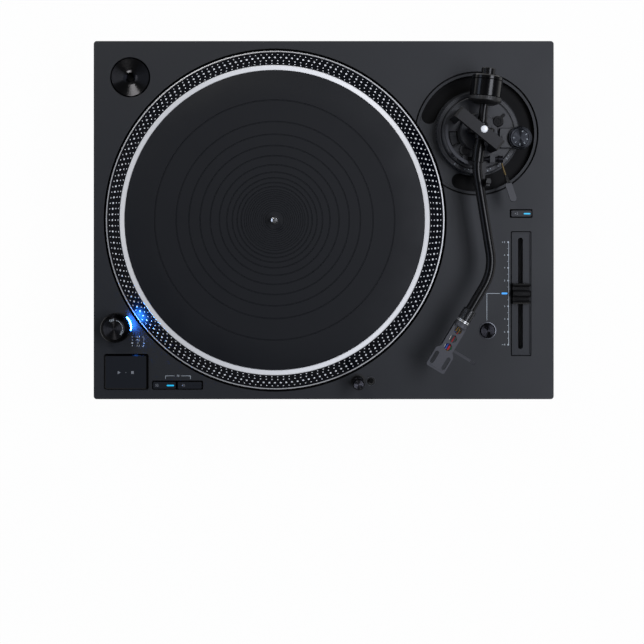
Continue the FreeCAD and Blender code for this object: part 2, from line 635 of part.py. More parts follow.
def key(box, proud, chamfer):
    """A button cap with a bevelled top and a stem to its switch."""
    x0, x1, y0, y1 = shrink(box, BUTTON_GAP)
    low = (x0, x1, y0, y1)
    top = DECK_Z + proud
    cap = rounded_block(*low, DECK_Z - BUTTON_DEPTH, top - chamfer, 1.0)
    cap = cap.fuse(tapered_block(low, shrink(low, chamfer), top - chamfer, top, 1.0))
    middle_x, middle_y = (x0 + x1) / 2, (y0 + y1) / 2
    stem = cyl(middle_x, middle_y, DECK_Z - BUTTON_DEPTH - 8, DECK_Z - BUTTON_DEPTH, 2.0)
    return cap.fuse(stem)


def start_stop_button():
    return key(START_HOLE, START_PROUD, 1.1)


def light_slot(x0, x1, y, z_top, gap):
    """A small slot for a light, from the cap's top down."""
    return rounded_block(x0 + gap, x1 - gap, y - 0.7 + gap, y + 0.7 - gap, z_top - 4, z_top + 1, 0.5)


def speed_button_33():
    x0, _, y0, y1 = SPEED_HOLE
    button = key((x0, SPEED_SPLIT_X + 0.2, y0, y1), SPEED_PROUD, 0.5)
    return button.cut(light_slot(-153.9, -146.8, -162.2, DECK_Z + SPEED_PROUD, 0))


def speed_button_45():
    _, x1, y0, y1 = SPEED_HOLE
    button = key((SPEED_SPLIT_X - 0.2, x1, y0, y1), SPEED_PROUD, 0.5)
    groove = rounded_block(-128.0, -121.6, -162.7, -161.7, DECK_Z + SPEED_PROUD - 0.3, DECK_Z + 3, 0.4)
    return button.cut(groove)


def light_33():
    top = DECK_Z + SPEED_PROUD
    return light_slot(-153.9, -146.8, -162.2, top, 0.02).common(block(-160, -140, -170, -150, 80, top + 0.02))


def x2_button():
    button = key(DOUBLE_HOLE, DOUBLE_PROUD, 0.5)
    return button.cut(light_slot(196.2, 202.6, 6.3, DECK_Z + DOUBLE_PROUD, 0))


def light_x2():
    top = DECK_Z + DOUBLE_PROUD
    return light_slot(196.2, 202.6, 6.3, top, 0.02).common(block(190, 210, 0, 12, 80, top + 0.02))


def pitch_zero_light():
    """The light beside the fader's middle."""
    return rounded_block(174.7, 180.4, PITCH_Y - 0.9, PITCH_Y + 0.9, DECK_Z - 6, DECK_Z - 0.1, 0.6)


def reset_button():
    """The round domed button in its ring."""
    top = DECK_Z + RESET_PROUD
    outline = [(0, DECK_Z - 14), (2.0, DECK_Z - 14), (2.0, DECK_Z - 6), (RESET_R, DECK_Z - 6), (RESET_R, top - 1.0)]
    outline += [(RESET_R - 0.9, top - 0.2), (RESET_R - 2.5, top), (0, top - 0.4)]
    return revolved(outline, RESET_X, RESET_Y)


def lamp_sleeve():
    """The flanged sleeve that the stylus lamp slides in, and the release button's ring."""
    body = tube(LAMP_X, LAMP_Y, DECK_Z - 24, DECK_Z, LAMP_R + 1.0, LAMP_R + 0.08)
    body = body.fuse(tube(LAMP_X, LAMP_Y, DECK_Z, DECK_Z + 0.5, LAMP_R + 1.9, LAMP_R + 0.08))
    ring = tube(RELEASE_X, LAMP_Y, DECK_Z, DECK_Z + 0.5, 4.9, 4.1)
    ring = ring.fuse(tube(RELEASE_X, LAMP_Y, DECK_Z, DECK_Z + 0.15, 4.5, RELEASE_R + 0.3))
    return Part.makeCompound([body, ring])


def stylus_lamp():
    """The pop-up lamp: a slim tube with a window low on the side that faces the platter."""
    top = DECK_Z + LAMP_RISE
    outline = [(0, DECK_Z - 12), (LAMP_R, DECK_Z - 12), (LAMP_R, top - 0.8), (LAMP_R - 0.8, top), (0, top)]
    body = revolved(outline, LAMP_X, LAMP_Y)
    return body.cut(block(LAMP_X - 3, LAMP_X + 3, LAMP_Y + 2.6, LAMP_Y + 8, top - 12.5, top - 5.0))


def lamp_release_button():
    top = DECK_Z + RELEASE_PROUD
    outline = [(0, DECK_Z - 14), (RELEASE_R, DECK_Z - 14), (RELEASE_R, top - 0.5), (RELEASE_R - 0.5, top), (0, top)]
    return revolved(outline, RELEASE_X, LAMP_Y)


def pitch_slot(z0, z1, gap):
    half = PITCH_SLOT_HALF - gap
    y0 = PITCH_Y - PITCH_TRAVEL - 4.4 + gap
    y1 = PITCH_Y + PITCH_TRAVEL + 4.4 - gap
    return rounded_block(PITCH_X - half, PITCH_X + half, y0, y1, z0, z1, half - 0.05)


def pitch_frame():
    """The fader's inset frame: a slightly sunk floor with a long slot and a fine rim."""
    box = shrink(PITCH_FRAME, FRAME_GAP)
    frame = rounded_block(*box, DECK_Z - 3.5, DECK_Z + 0.2, 1.3)
    frame = frame.cut(rounded_block(*shrink(box, 0.8), DECK_Z - 0.6, DECK_Z + 1, 0.8))
    return frame.cut(pitch_slot(DECK_Z - 5, DECK_Z + 1, 0))


def pitch_fader():
    """The slide potentiometer under the frame, open along its top."""
    y0, y1 = PITCH_Y - PITCH_TRAVEL - 8.7, PITCH_Y + PITCH_TRAVEL + 8.7
    can = block(PITCH_X - 6, PITCH_X + 6, y0, y1, DECK_Z - 20, DECK_Z - 3.5)
    can = can.cut(block(PITCH_X - 4.5, PITCH_X + 4.5, y0 + 1.5, y1 - 1.5, DECK_Z - 18.5, DECK_Z - 5))
    return can.cut(pitch_slot(DECK_Z - 6, DECK_Z, 0))


def pitch_knob():
    """The fader cap: a wide low foot, sunk grips and a raised middle ridge, on its stem."""
    width, depth, height = PITCH_KNOB
    top, low = DECK_Z + height, DECK_Z + 0.6
    half_d = depth / 2
    side = [(-half_d, low), (half_d, low), (half_d, top - 2.0), (half_d - 1.4, top - 0.6), (half_d - 2.4, top - 1.0)]
    side += [(half_d - 3.2, top - 4.0), (3.6, top - 4.0), (2.6, top - 0.4), (1.6, top), (-1.6, top), (-2.6, top - 0.4)]
    side += [(-3.6, top - 4.0), (-half_d + 3.2, top - 4.0), (-half_d + 2.4, top - 1.0), (-half_d + 1.4, top - 0.6)]
    side += [(-half_d, top - 2.0)]
    x0 = PITCH_X - width / 2
    outline = Part.makePolygon([Vector(x0, PITCH_Y + y, z) for y, z in side + side[:1]])
    cap = Part.Face(outline).extrude(Vector(width, 0, 0))
    stem = block(PITCH_X - 1.6, PITCH_X + 1.6, PITCH_Y - 3.2, PITCH_Y + 3.2, DECK_Z - 12, low + 0.2)
    carriage = block(PITCH_X - 4.0, PITCH_X + 4.0, PITCH_Y - 5, PITCH_Y + 5, DECK_Z - 15, DECK_Z - 11)
    return cap.fuse([stem, carriage])


def arm_mount():
    """The fixed collar that the arm base rises in, bolted through the deck."""
    outline = [(MOUNT_BORE_R, 62.0), (33.2, 62.0), (33.2, DECK_Z), (39.2, DECK_Z)]
    outline += [(39.2, DECK_Z + 1.2), (MOUNT_BORE_R, DECK_Z + 1.2)]
    return revolved(outline, ARM_X, ARM_Y)


def height_ring():
    """The turning ring that sets the arm's height, with a fluted edge and a flat scale band."""
    inner, outer = BASE_RING_R
    low, high = DECK_Z + 1.5, DECK_Z + 9.2
    outline = [(27.0, low), (outer, low), (outer, high - 1.0), (outer - 0.8, high), (inner, high)]
    outline += [(inner, low + 3.4), (27.0, low + 3.4)]
    ring = revolved(outline, ARM_X, ARM_Y)
    flutes = [cyl(x, y, low - 1, high - 2.4, 0.7) for x, y, _ in around(ARM_X, ARM_Y, outer + 0.2, 60)]
    return ring.cut(flutes)


def arm_base_plate():
    """The arm base: round plate, skirt in the collar, turret, shaft blocks and an outer shelf."""
    low, top = DECK_Z + 5.3, BASE_PLATE_TOP_Z
    skirt_r = MOUNT_BORE_R - PIVOT_GAP
    outline = [(21.5, 66.0), (skirt_r, 66.0), (skirt_r, low), (BASE_PLATE_R, low), (BASE_PLATE_R, top - 1.2)]
    outline += [(BASE_PLATE_R - 1.2, top), (TURRET_R, top), (TURRET_R, TURRET_TOP_Z - 1.0)]
    outline += [(TURRET_R - 1.0, TURRET_TOP_Z), (0, TURRET_TOP_Z), (0, top - 5.0), (21.5, top - 5.0)]
    plate = revolved(outline, ARM_X, ARM_Y)
    blocks = [block(CUE_X[0] + 1, CUE_X[0] + 6, CUE_Y - 3.5, CUE_Y + 3.5, top - 0.5, CUE_Z + 3.0)]
    blocks.append(block(CUE_X[1] - 9, CUE_X[1] - 4, CUE_Y - 3.5, CUE_Y + 3.5, top - 0.5, CUE_Z + 3.0))
    screw_x, screw_y = 136.7, 67.8
    blocks.append(cyl(screw_x, screw_y, top - 0.5, top + 3.0, 4.6))
    plate = plate.fuse(blocks)
    post_x, post_y = polar(sum(LIFTER_R) / 2, LIFTER_POST_DEG)
    cuts = [cyl(ARM_X, ARM_Y, TURRET_TOP_Z - 6, TURRET_TOP_Z + 1, PIVOT_R + PIVOT_GAP)]
    cuts.append(bar(CUE_X[0] - 5, CUE_Y, CUE_Z, 1, 0, 0, 50, 2.05))
    cuts.append(cyl(post_x, post_y, low - 1, top + 1, 2.05))
    cuts.append(cyl(screw_x, screw_y, top + 1.2, top + 4, 3.0))
    cuts.append(cyl(LOCK_X, LOCK_Y, top - 3.5, top + 1, LOCK_STEM_R + PIVOT_GAP))
    cuts.append(cyl(LOCK_X, LOCK_Y, top, TURRET_TOP_Z + 1, LOCK_R + 0.5))
    window = sector(ARM_X, ARM_Y, top - 1.5, top + 1, 20.5, 29.0, 186.0, 212.0)
    cuts.append(window)
    return plate.cut(cuts)


def bridge_piece(shape):
    """Moves a shape made about the bridge's middle, long way along X, to its place."""
    shape.rotate(Vector(0, 0, 0), UP, BRIDGE_DEG)
    shape.translate(Vector(BRIDGE_CENTRE[0], BRIDGE_CENTRE[1], 0))
    return shape


def gimbal_bridge():
    """The arch over the arm's pivot: two legs with feet, a slightly arched bar and the pivot hole."""
    length, width = BRIDGE_SIZE
    half, half_w = length / 2, width / 2
    low, high = BRIDGE_Z
    foot_z = BASE_PLATE_TOP_Z
    inner = half - BRIDGE_LEG
    side = [(-half, foot_z), (-half, high - 2.0), (-half + 2.0, high), (half - 2.0, high), (half, high - 2.0)]
    side += [(half, foot_z), (inner, foot_z), (inner, low - 3.0), (inner - 3.0, low), (-inner + 3.0, low)]
    side += [(-inner, low - 3.0), (-inner, foot_z)]
    outline = Part.makePolygon([Vector(x, -half_w, z) for x, z in side + side[:1]])
    arch = bridge_piece(Part.Face(outline).extrude(Vector(0, width, 0)))
    hole = cyl(ARM_X, ARM_Y, low - 1, high + 1, 3.4)
    turret = cyl(ARM_X, ARM_Y, foot_z - 1, TURRET_TOP_Z + 0.3, TURRET_R)
    return arch.cut([hole, turret])


def bridge_pivot_cap():
    """The bright bearing cap in the bridge, with the blind bore for the upper pivot."""
    low, high = BRIDGE_Z
    outline = [(PIVOT_R + PIVOT_GAP, low + 0.2), (3.4, low + 0.2), (3.4, high + 0.6), (2.6, high + 1.4)]
    outline += [(0, high + 1.7), (0, low + 5.2), (PIVOT_R + PIVOT_GAP, low + 5.2)]
    return revolved(outline, ARM_X, ARM_Y)


def gimbal_ring():
    """The ring round the arm tube, with upright pivots above and below and side bores."""
    inner, outer = GIMBAL_R
    half = GIMBAL_W / 2
    ring = turned([(-half, inner), (half, inner), (half, outer - 0.8), (half - 0.8, outer), (-half + 0.8, outer),
                   (-half, outer - 0.8)])
    ring = ring.cut(bar(0, -outer - 1, 0, 0, 1, 0, 2 * outer + 2, PIVOT_R - 0.1 + PIVOT_GAP))
    pins = [Part.makeCylinder(PIVOT_R, BRIDGE_Z[0] + 5.0 - ARM_Z - outer + 0.6, Vector(0, 0, outer - 0.6))]
    pins.append(Part.makeCylinder(PIVOT_R, 6.0, Vector(0, 0, -outer - 5.4)))
    return along_arm(ring.fuse(pins))


def fillet_path(points, radii):
    """Straight runs through points, joined by arcs, all at the arm's height."""
    vectors = [Vector(x, y, ARM_Z) for x, y in points]
    edges = []
    start = vectors[0]
    for n, r in enumerate(radii):
        corner, following = vectors[n + 1], vectors[n + 2]
        back = (start - corner).normalize()
        ahead = (following - corner).normalize()
        half_turn = (math.pi - back.getAngle(ahead)) / 2
        reach = r * math.tan(half_turn)
        first, last = corner + back * reach, corner + ahead * reach
        inward = (back + ahead).normalize()
        middle = corner + inward * (r / math.cos(half_turn) - r)
        edges.append(Part.LineSegment(start, first).toShape())
        edges.append(Part.Arc(first, middle, last).toShape())
        start = last
    edges.append(Part.LineSegment(start, vectors[-1]).toShape())
    return Part.Wire(edges)


def shell_point(s):
    """A place on the headshell's axis, s in front of its back end."""
    angle = math.radians(SHELL_DEG)
    return SHELL_X + s * math.cos(angle), SHELL_Y + s * math.sin(angle)


def arm_tube():
    """The S-shaped tube with its pivot hub and side pins, rear shaft, stub and plug socket."""
    back_deg = math.radians(ARM_REST_DEG - 180.0)
    rear = (ARM_X + TUBE_BACK * math.cos(back_deg), ARM_Y + TUBE_BACK * math.sin(back_deg))
    path = fillet_path([rear, ARM_BEND_1, ARM_BEND_2, shell_point(-1.2)], (ARM_BEND_R1, ARM_BEND_R2))
    start = path.OrderedVertexes[0].Point
    heading = path.OrderedEdges[0].tangentAt(path.OrderedEdges[0].FirstParameter)
    ring = Part.Wire(Part.makeCircle(TUBE_R, start, heading))
    swept = path.makePipeShell([ring], True, False)
    hub = turned([(-8.5, 0), (-8.5, 5.2), (-7.5, 6.2), (7.5, 6.2), (8.5, 5.2), (8.5, 0)])
    pins = bar(0, -11.9, 0, 0, 1, 0, 23.8, PIVOT_R - 0.1)
    stub_0, stub_1, stub_r = REAR_STUB
    shaft = turned([(TUBE_BACK - 1, 0), (TUBE_BACK - 1, REAR_SHAFT_R), (stub_0, REAR_SHAFT_R),
                    (stub_0, stub_r), (stub_1 - 0.6, stub_r), (stub_1, stub_r - 0.6), (stub_1, 0)])
    end, start, sleeve_r = FRONT_SLEEVE
    sleeve = turned([(end, 0), (end, sleeve_r - 0.5), (end + 0.5, sleeve_r), (start, sleeve_r), (start, 0)])
    body = swept.fuse([along_arm(hub), along_arm(pins), along_arm(shaft), along_arm(sleeve)])
    socket = along_shell(bar(-13.0, 0, 0, 1, 0, 0, 14.0, 3.6))
    return body.cut(socket)


def counterweight():
    """The main weight, bored for the rear shaft, with turned grooves."""
    near, far = WEIGHT_SPAN
    bore = REAR_SHAFT_R + 0.08
    outline = [(near, bore), (near, WEIGHT_R - 0.6), (near + 0.6, WEIGHT_R), (far - 4.6, WEIGHT_R)]
    outline += [(far - 4.2, WEIGHT_R - 0.5), (far - 3.8, WEIGHT_R), (far - 1.2, WEIGHT_R), (far, WEIGHT_R - 1.2)]
    outline += [(far, bore)]
    return along_arm(turned(outline))


def weight_scale_ring():
    """The number ring in front of the weight: a wide band and a cone towards the pivot."""
    near, far = SCALE_SPAN
    bore = REAR_SHAFT_R + 0.08
    outline = [(near, bore), (near, 9.5), (near + 2.4, SCALE_R - 1.0), (near + 3.4, SCALE_R), (far, SCALE_R)]
    outline += [(far, bore)]
    ring = turned(outline)
    notches = []
    for y, z, _ in around(0, 0, SCALE_R + 0.35, 36):
        notches.append(bar(near + 4.6, y, z, 1, 0, 0, 6.0, 0.6))
    return along_arm(ring.cut(notches))


def locking_collar():
    """The knurled collar that pulls the headshell's plug home, with its bright front ring."""
    inner = TUBE_R + 0.3
    outline = [(-15.7, inner), (-15.7, 5.9), (-15.0, 6.5), (-4.4, 6.5), (-4.4, 6.0), (-3.6, 6.0), (-3.6, 6.3)]
    outline += [(-1.2, 6.3), (-1.0, 6.0), (-1.0, inner)]
    collar = turned(outline)
    grips = [bar(-13.4, y, z, 1, 0, 0, 8.0, 0.55) for y, z, _ in around(0, 0, 6.6, 14, 12.0)]
    return along_shell(collar.cut(grips))


def headshell():
    """The headshell: plug, round neck, a channel with three holes and a wide front with two slots."""
    half_n, half_f, length = 6.4, 9.8, 50.4
    plan = [(0.3, -half_n), (27.5, -half_n), (30.0, -half_f + 0.9), (31.2, -half_f), (length - 1.2, -half_f)]
    plan += [(length, -half_f + 1.2), (length, half_f - 1.2), (length - 1.2, half_f), (33.0, half_f)]
    plan += [(31.2, half_f - 0.9), (28.5, half_n), (0.3, half_n)]
    outline = Part.makePolygon([Vector(x, y, -0.4) for x, y in plan + plan[:1]])
    plate = Part.Face(outline).extrude(Vector(0, 0, 2.0))
    walls = [block(0.3, 26.0, s * half_n - 0.6 - s * 0.6, s * half_n + 0.6 - s * 0.6, -5.6, -0.3) for s in (-1, 1)]
    neck = turned([(0.3, 0), (0.3, 6.4), (3.4, 6.4), (3.4, 0)])
    gasket = turned([(-0.9, 0), (-0.9, 6.6), (0.3, 6.6), (0.3, 0)])
    plug = bar(-9.6, 0, 0, 1, 0, 0, 9.0, 3.55)
    rib = block(length - 2.8, length - 2.0, 3.0 - half_f, half_f - 3.0, 1.5, 2.0)
    body = plate.fuse(walls + [neck, gasket, plug, rib])
    cuts = [cyl(s, 0, -1, 3, 3.7) for s in (7.2, 16.4, 25.6)]
    for side in (-6.35, 6.35):
        cuts.append(rounded_block(33.6, 46.9, side - 1.9, side + 1.9, -1, 3, 1.85))
    return along_shell(body.cut(cuts))


def finger_lift():
    """The thin lift that sticks out of the headshell's side and turns up at its end."""
    strip = block(25.0, 27.4, 6.4, 26.0, 0.1, 1.1)
    tip = Part.makeCylinder(5.0, 2.4, Vector(25.0, 26.0, 6.1), Vector(1, 0, 0))
    tip = tip.cut(Part.makeCylinder(4.0, 4.0, Vector(24.0, 26.0, 6.1), Vector(1, 0, 0)))
    tip = tip.common(block(20.0, 30.0, 26.0, 29.5, 0.0, 4.2))
    return along_shell(strip.fuse(tip))


def lead_rows():
    return (-3.6, -1.2, 1.2, 3.6)


def cartridge_leads():
    """Four leads that lie in the headshell's channel, each from its plug pin to its clip."""
    leads = []
    for side in lead_rows():
        a, b = Vector(9.3, side, -1.6), Vector(25.7, side, -1.6)
        middle = Vector(17.5, side, -3.4)
        path = Part.Wire(Part.Arc(a, middle, b).toShape())
        heading = path.Edges[0].tangentAt(path.Edges[0].FirstParameter)
        ring = Part.Wire(Part.makeCircle(0.45, a, heading))
        leads.append(along_shell(path.makePipeShell([ring], True, False)))
    return Part.makeCompound(leads)


def lead_clips():
    """Gilt clips on both ends of the leads, and the rear ones' pins in the neck."""
    clips = []
    for side in lead_rows():
        clips.append(along_shell(bar(3.4, side, -1.6, 1, 0, 0, 5.8, 0.75)))
        clips.append(along_shell(bar(25.8, side, -1.6, 1, 0, 0, 6.2, 0.75)))
    return Part.makeCompound(clips)


def arm_rest():
    """The rest: bracket, post, a saddle open to the platter side, an outer lip and the clip's ears."""
    near, far = -REST_AT - 4.0, -REST_AT + 3.0
    low = BASE_PLATE_TOP_Z - ARM_Z
    saddle_z = -TUBE_R - 0.35
    lip_y = REST_LIP_Y
    bracket = block(near, -22.0, lip_y - 1.5, lip_y + 5.5, low, low + 3.0)
    post = block(near, far, lip_y - 3.5, lip_y + 3.5, low + 2.5, saddle_z - 2.6)
    saddle = block(near, far, lip_y - 3.5, REST_TUBE_Y + 4.0, saddle_z - 2.8, saddle_z)
    lip = block(near, far, lip_y - 3.5, lip_y, saddle_z - 0.5, CLIP_Z + 1.6)
    body = bracket.fuse([post, saddle, lip])
    bore = bar(near - 1, CLIP_PIN_Y, CLIP_Z, 1, 0, 0, 12.0, CLIP_PIN_R + PIVOT_GAP)
    notch = block(-REST_AT - 2.2, -REST_AT + 1.2, lip_y - 5, lip_y + 1, CLIP_Z - 2.4, CLIP_Z + 3)
    return along_arm(body.cut([bore, notch]))


def arm_clip():
    """The swinging clip, standing open beside the tube, with its pin through the ears."""
    pin_y = CLIP_PIN_Y
    x0, x1 = -REST_AT - 2.0, -REST_AT + 1.0
    reach = 2 * TUBE_R + 4.4
    pin = bar(-REST_AT - 3.9, pin_y, CLIP_Z, 1, 0, 0, 6.8, CLIP_PIN_R)
    leaf = block(x0, x1, pin_y - 0.8, pin_y + 0.8, CLIP_Z, CLIP_Z + reach)
    hook = block(x0, x1, pin_y + 0.6, pin_y + 3.6, CLIP_Z + reach - 1.4, CLIP_Z + reach)
    eye = bar(x0, pin_y, CLIP_Z, 1, 0, 0, x1 - x0, 1.5)
    return along_arm(pin.fuse([leaf, hook, eye]))


def anti_skate_housing():
    """The box that carries the anti-skate dial out over the ring."""
    top = BASE_PLATE_TOP_Z
    box = tapered_block((170.2, 190.0, 69.5, 89.5), (170.7, 189.2, 70.3, 88.7), top, top + 4.6, 1.5)
    under = cyl(SKATE_X, SKATE_Y, top, SKATE_Z[0] - 0.4, SKATE_R - 1.2)
    pin = cyl(173.5, 80.6, top + 4.4, top + 6.6, 1.2)
    body = box.fuse([under, pin])
    return body.cut(cyl(SKATE_X, SKATE_Y, top - 1, top + 10, 2.05))


def anti_skate_dial():
    """The fluted dial with a dished face."""
    low, high = SKATE_Z[0] + 0.3, SKATE_Z[1]
    start = BASE_PLATE_TOP_Z + 0.6
    outline = [(0, start), (2.0, start), (2.0, low + 3.2), (SKATE_R, low + 3.2), (SKATE_R, high - 0.6)]
    outline += [(SKATE_R - 0.6, high), (SKATE_R - 2.2, high), (SKATE_R - 2.6, high - 0.5), (0, high - 0.5)]
    dial = revolved(outline, SKATE_X, SKATE_Y)
    flutes = [cyl(x, y, low, high + 1, 0.55) for x, y, _ in around(SKATE_X, SKATE_Y, SKATE_R + 0.15, 36)]
    return dial.cut(flutes)


def height_lock_knob():
    """The small knob that locks the arm's height, with its pointer lever."""
    low, high = BASE_PLATE_TOP_Z + 0.3, BASE_PLATE_TOP_Z + 4.3
    outline = [(0, low), (LOCK_R, low), (LOCK_R, high - 0.9)]
    outline += [(LOCK_R - 0.9, high), (2.6, high), (2.2, high - 0.5), (0, high - 0.5)]
    knob = revolved(outline, LOCK_X, LOCK_Y).fuse(cyl(LOCK_X, LOCK_Y, low - 3.3, low + 1, LOCK_STEM_R))
    pointer = block(4.5, 9.8, -1.3, 1.3, low + 0.1, low + 1.5)
    pointer.rotate(Vector(0, 0, 0), UP, 48.0)
    pointer.translate(Vector(LOCK_X, LOCK_Y, 0))
    return knob.fuse(pointer)


def cue_line(length):
    """A place along the cue lever, measured from its shaft, and the lever's direction."""
    way = Vector(13.8, -47.0, 10.0).normalize()
    start = Vector(CUE_X[1] + 1.2, CUE_Y, CUE_Z)
    return start + way * length, way


def cue_lever():
    """The cross shaft, its end hub and the thin rod that leads to the paddle."""
    shaft = bar(CUE_X[0], CUE_Y, CUE_Z, 1, 0, 0, CUE_X[1] - CUE_X[0], 2.0)
    hub = bar(CUE_X[1] - 1.0, CUE_Y, CUE_Z, 1, 0, 0, 4.6, 3.3)
    start, way = cue_line(0.0)
    rod = Part.makeCylinder(0.9, CUE_ROD, start, way)
    return shaft.fuse([hub, rod])


def cue_paddle():
    """The cone and flat finger paddle on the rod's end."""
    near, way = cue_line(CUE_ROD)
    cone = Part.makeCone(1.4, 2.5, CUE_CONE, near, way)
    joint, _ = cue_line(CUE_ROD + CUE_CONE - 0.5)
    side = way.cross(UP).normalize()
    upward = side.cross(way).normalize()
    length, half = CUE_PADDLE
    ends = [(0, half - 1.4), (0.7, half - 0.4), (2.0, half), (length - 2.8, half), (length - 1.1, half - 0.7)]
    ends.append((length, half - 2.2))
    corners = ends + [(along, -across) for along, across in reversed(ends)]
    corners = [joint + way * along + side * across - upward * 1.3 for along, across in corners]
    outline = Part.makePolygon(corners + corners[:1])
    paddle = Part.Face(outline).extrude(upward * 2.6)
    return cone.fuse(paddle)


def arm_lifter():
    """The curved lift platform with fine teeth and its guide post."""
    inner, outer = LIFTER_R
    arc = sector(ARM_X, ARM_Y, LIFTER_TOP_Z - 2.7, LIFTER_TOP_Z, inner, outer, *LIFTER_DEG)
    x, y = polar((inner + outer) / 2, LIFTER_POST_DEG)
    post = cyl(x, y, DECK_Z + 9.8, LIFTER_TOP_Z - 2.0, 2.0)
    teeth = []
    for n in range(24):
        tx, ty = polar(outer + 0.1, 172.0 + 3.0 * n)
        teeth.append(cyl(tx, ty, LIFTER_TOP_Z - 1.4, LIFTER_TOP_Z + 1, 0.45))
    return arc.cut(teeth).fuse(post)


NODES = {
    "top_panel": top_panel, "base_shell": base_shell, "case_screws": case_screws,
    "bearing_housing": bearing_housing, "stator_board": stator_board, "stator_coils": stator_coils,
    "control_board": control_board, "power_supply": power_supply, "ac_inlet": ac_inlet,
    "terminal_plate": terminal_plate, "phono_jacks": phono_jacks, "ground_terminal": ground_terminal,
    "platter": platter, "rubber_mat": rubber_mat, "spindle": spindle, "rotor_magnet": rotor_magnet,
    "adapter_45": adapter_45, "strobe_housing": strobe_housing, "strobe_window": strobe_window,
    "power_knob": power_knob, "start_stop_button": start_stop_button,
    "speed_button_33": speed_button_33, "speed_button_45": speed_button_45, "light_33": light_33,
    "x2_button": x2_button, "light_x2": light_x2, "reset_button": reset_button,
    "pitch_zero_light": pitch_zero_light, "pitch_frame": pitch_frame, "pitch_fader": pitch_fader,
    "pitch_knob": pitch_knob, "lamp_sleeve": lamp_sleeve, "stylus_lamp": stylus_lamp,
    "lamp_release_button": lamp_release_button, "arm_mount": arm_mount, "height_ring": height_ring,
    "arm_base_plate": arm_base_plate, "gimbal_bridge": gimbal_bridge, "bridge_pivot_cap": bridge_pivot_cap,
    "gimbal_ring": gimbal_ring, "arm_tube": arm_tube, "counterweight": counterweight,
    "weight_scale_ring": weight_scale_ring, "locking_collar": locking_collar, "headshell": headshell,
    "finger_lift": finger_lift, "cartridge_leads": cartridge_leads, "lead_clips": lead_clips,
    "arm_rest": arm_rest, "arm_clip": arm_clip, "anti_skate_housing": anti_skate_housing,
    "anti_skate_dial": anti_skate_dial, "height_lock_knob": height_lock_knob, "cue_lever": cue_lever,
    "cue_paddle": cue_paddle, "arm_lifter": arm_lifter,
}


def main():
    os.makedirs("parts", exist_ok=True)
    for name, make in NODES.items():
        shape = make()
        shape.exportStep("parts/" + name + ".step")
    for corner, (x, y) in feet_places().items():
        foot(x, y).exportStep("parts/foot_" + corner + ".step")


main()
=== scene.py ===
"""Direct drive turntable with an S-shaped tonearm: its finishes, prints, fine pieces, light and camera."""

import math

import bpy
from mathutils import Matrix, Vector


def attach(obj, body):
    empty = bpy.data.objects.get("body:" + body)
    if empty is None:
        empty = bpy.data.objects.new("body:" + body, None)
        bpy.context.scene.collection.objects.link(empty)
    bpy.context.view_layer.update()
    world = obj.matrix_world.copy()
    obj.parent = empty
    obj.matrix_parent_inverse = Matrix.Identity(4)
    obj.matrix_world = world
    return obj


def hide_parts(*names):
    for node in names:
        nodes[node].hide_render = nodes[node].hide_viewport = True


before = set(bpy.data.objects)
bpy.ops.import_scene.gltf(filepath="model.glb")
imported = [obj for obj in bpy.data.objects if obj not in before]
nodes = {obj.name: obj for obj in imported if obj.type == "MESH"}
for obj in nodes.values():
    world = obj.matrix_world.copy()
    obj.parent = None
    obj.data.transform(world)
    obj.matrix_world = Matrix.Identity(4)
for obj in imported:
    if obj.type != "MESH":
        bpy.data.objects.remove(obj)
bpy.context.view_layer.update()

MM = 0.001
FULL_TURN = 2 * math.pi
# The setting with which a Mix node blends colours.
COLOURS = {"data_type": "RGBA"}

DECK_Z = 90.0
SPIN = (-47.6, 0.0)
ARM = (150.0, 85.0, 123.0)
SHELL = (131.7, -98.9, 123.0)
SHELL_DEG = 239.0
KNOB = (-202.5, -105.0)
SKATE = (189.8, 79.5)
RESET = (160.9, -108.5)
ADAPTER = (-190.0, 140.3)
LAMP = (33.6, -158.0)
RELEASE = (46.4, -158.0)
START_STOP = (-193.8, -149.3)
PRESS_ROW_Y = -162.1
FOOT = (194.5, 144.5)
PITCH = (193.3, -72.0)
PITCH_LINE_X = 181.6
PITCH_REACH = 50.3
PRINT_LIFT = 0.02
PRINT_DEPTH = 0.02

BEVEL_TOP = (150.8, 101.8)
BEVEL_FOOT = (164.4, 91.6)
MAT_R = 145.6
MAT_LOW = 100.65
MAT_TOP = 104.0
HUB_R = 3.93

RING_TOP = DECK_Z + 9.2
ARM_BASE_TOP = DECK_Z + 11.5
KNOB_TOP = DECK_Z + 19.6
DIAL_TOP = DECK_Z + 20.9


# Nodes of a material


def srgb(code, alpha=1.0):
    """A hex colour as linear numbers."""
    values = [int(code[n:n + 2], 16) / 255 for n in (1, 3, 5)]
    return tuple(v / 12.92 if v <= 0.04045 else ((v + 0.055) / 1.055) ** 2.4 for v in values) + (alpha,)


def add(tree, kind, settings=None, inputs=None):
    """Adds one node, with its own settings and its inputs, each a plain value or another node's output."""
    node = tree.nodes.new("ShaderNode" + kind)
    for name, value in (settings or {}).items():
        setattr(node, name, value)
    for name, value in (inputs or {}).items():
        if isinstance(value, bpy.types.NodeSocket):
            tree.links.new(value, node.inputs[name])
        else:
            node.inputs[name].default_value = value
    return node


def finish_tree(name):
    """A new material with an empty node tree and its surface output."""
    material = bpy.data.materials.new(name)
    material.use_nodes = True
    tree = material.node_tree
    tree.nodes.clear()
    return material, tree, add(tree, "OutputMaterial")


def per_mm(size):
    """The texture scale at which one grain, in metres of the object, is that many millimetres."""
    return 1.0 / (size * MM)


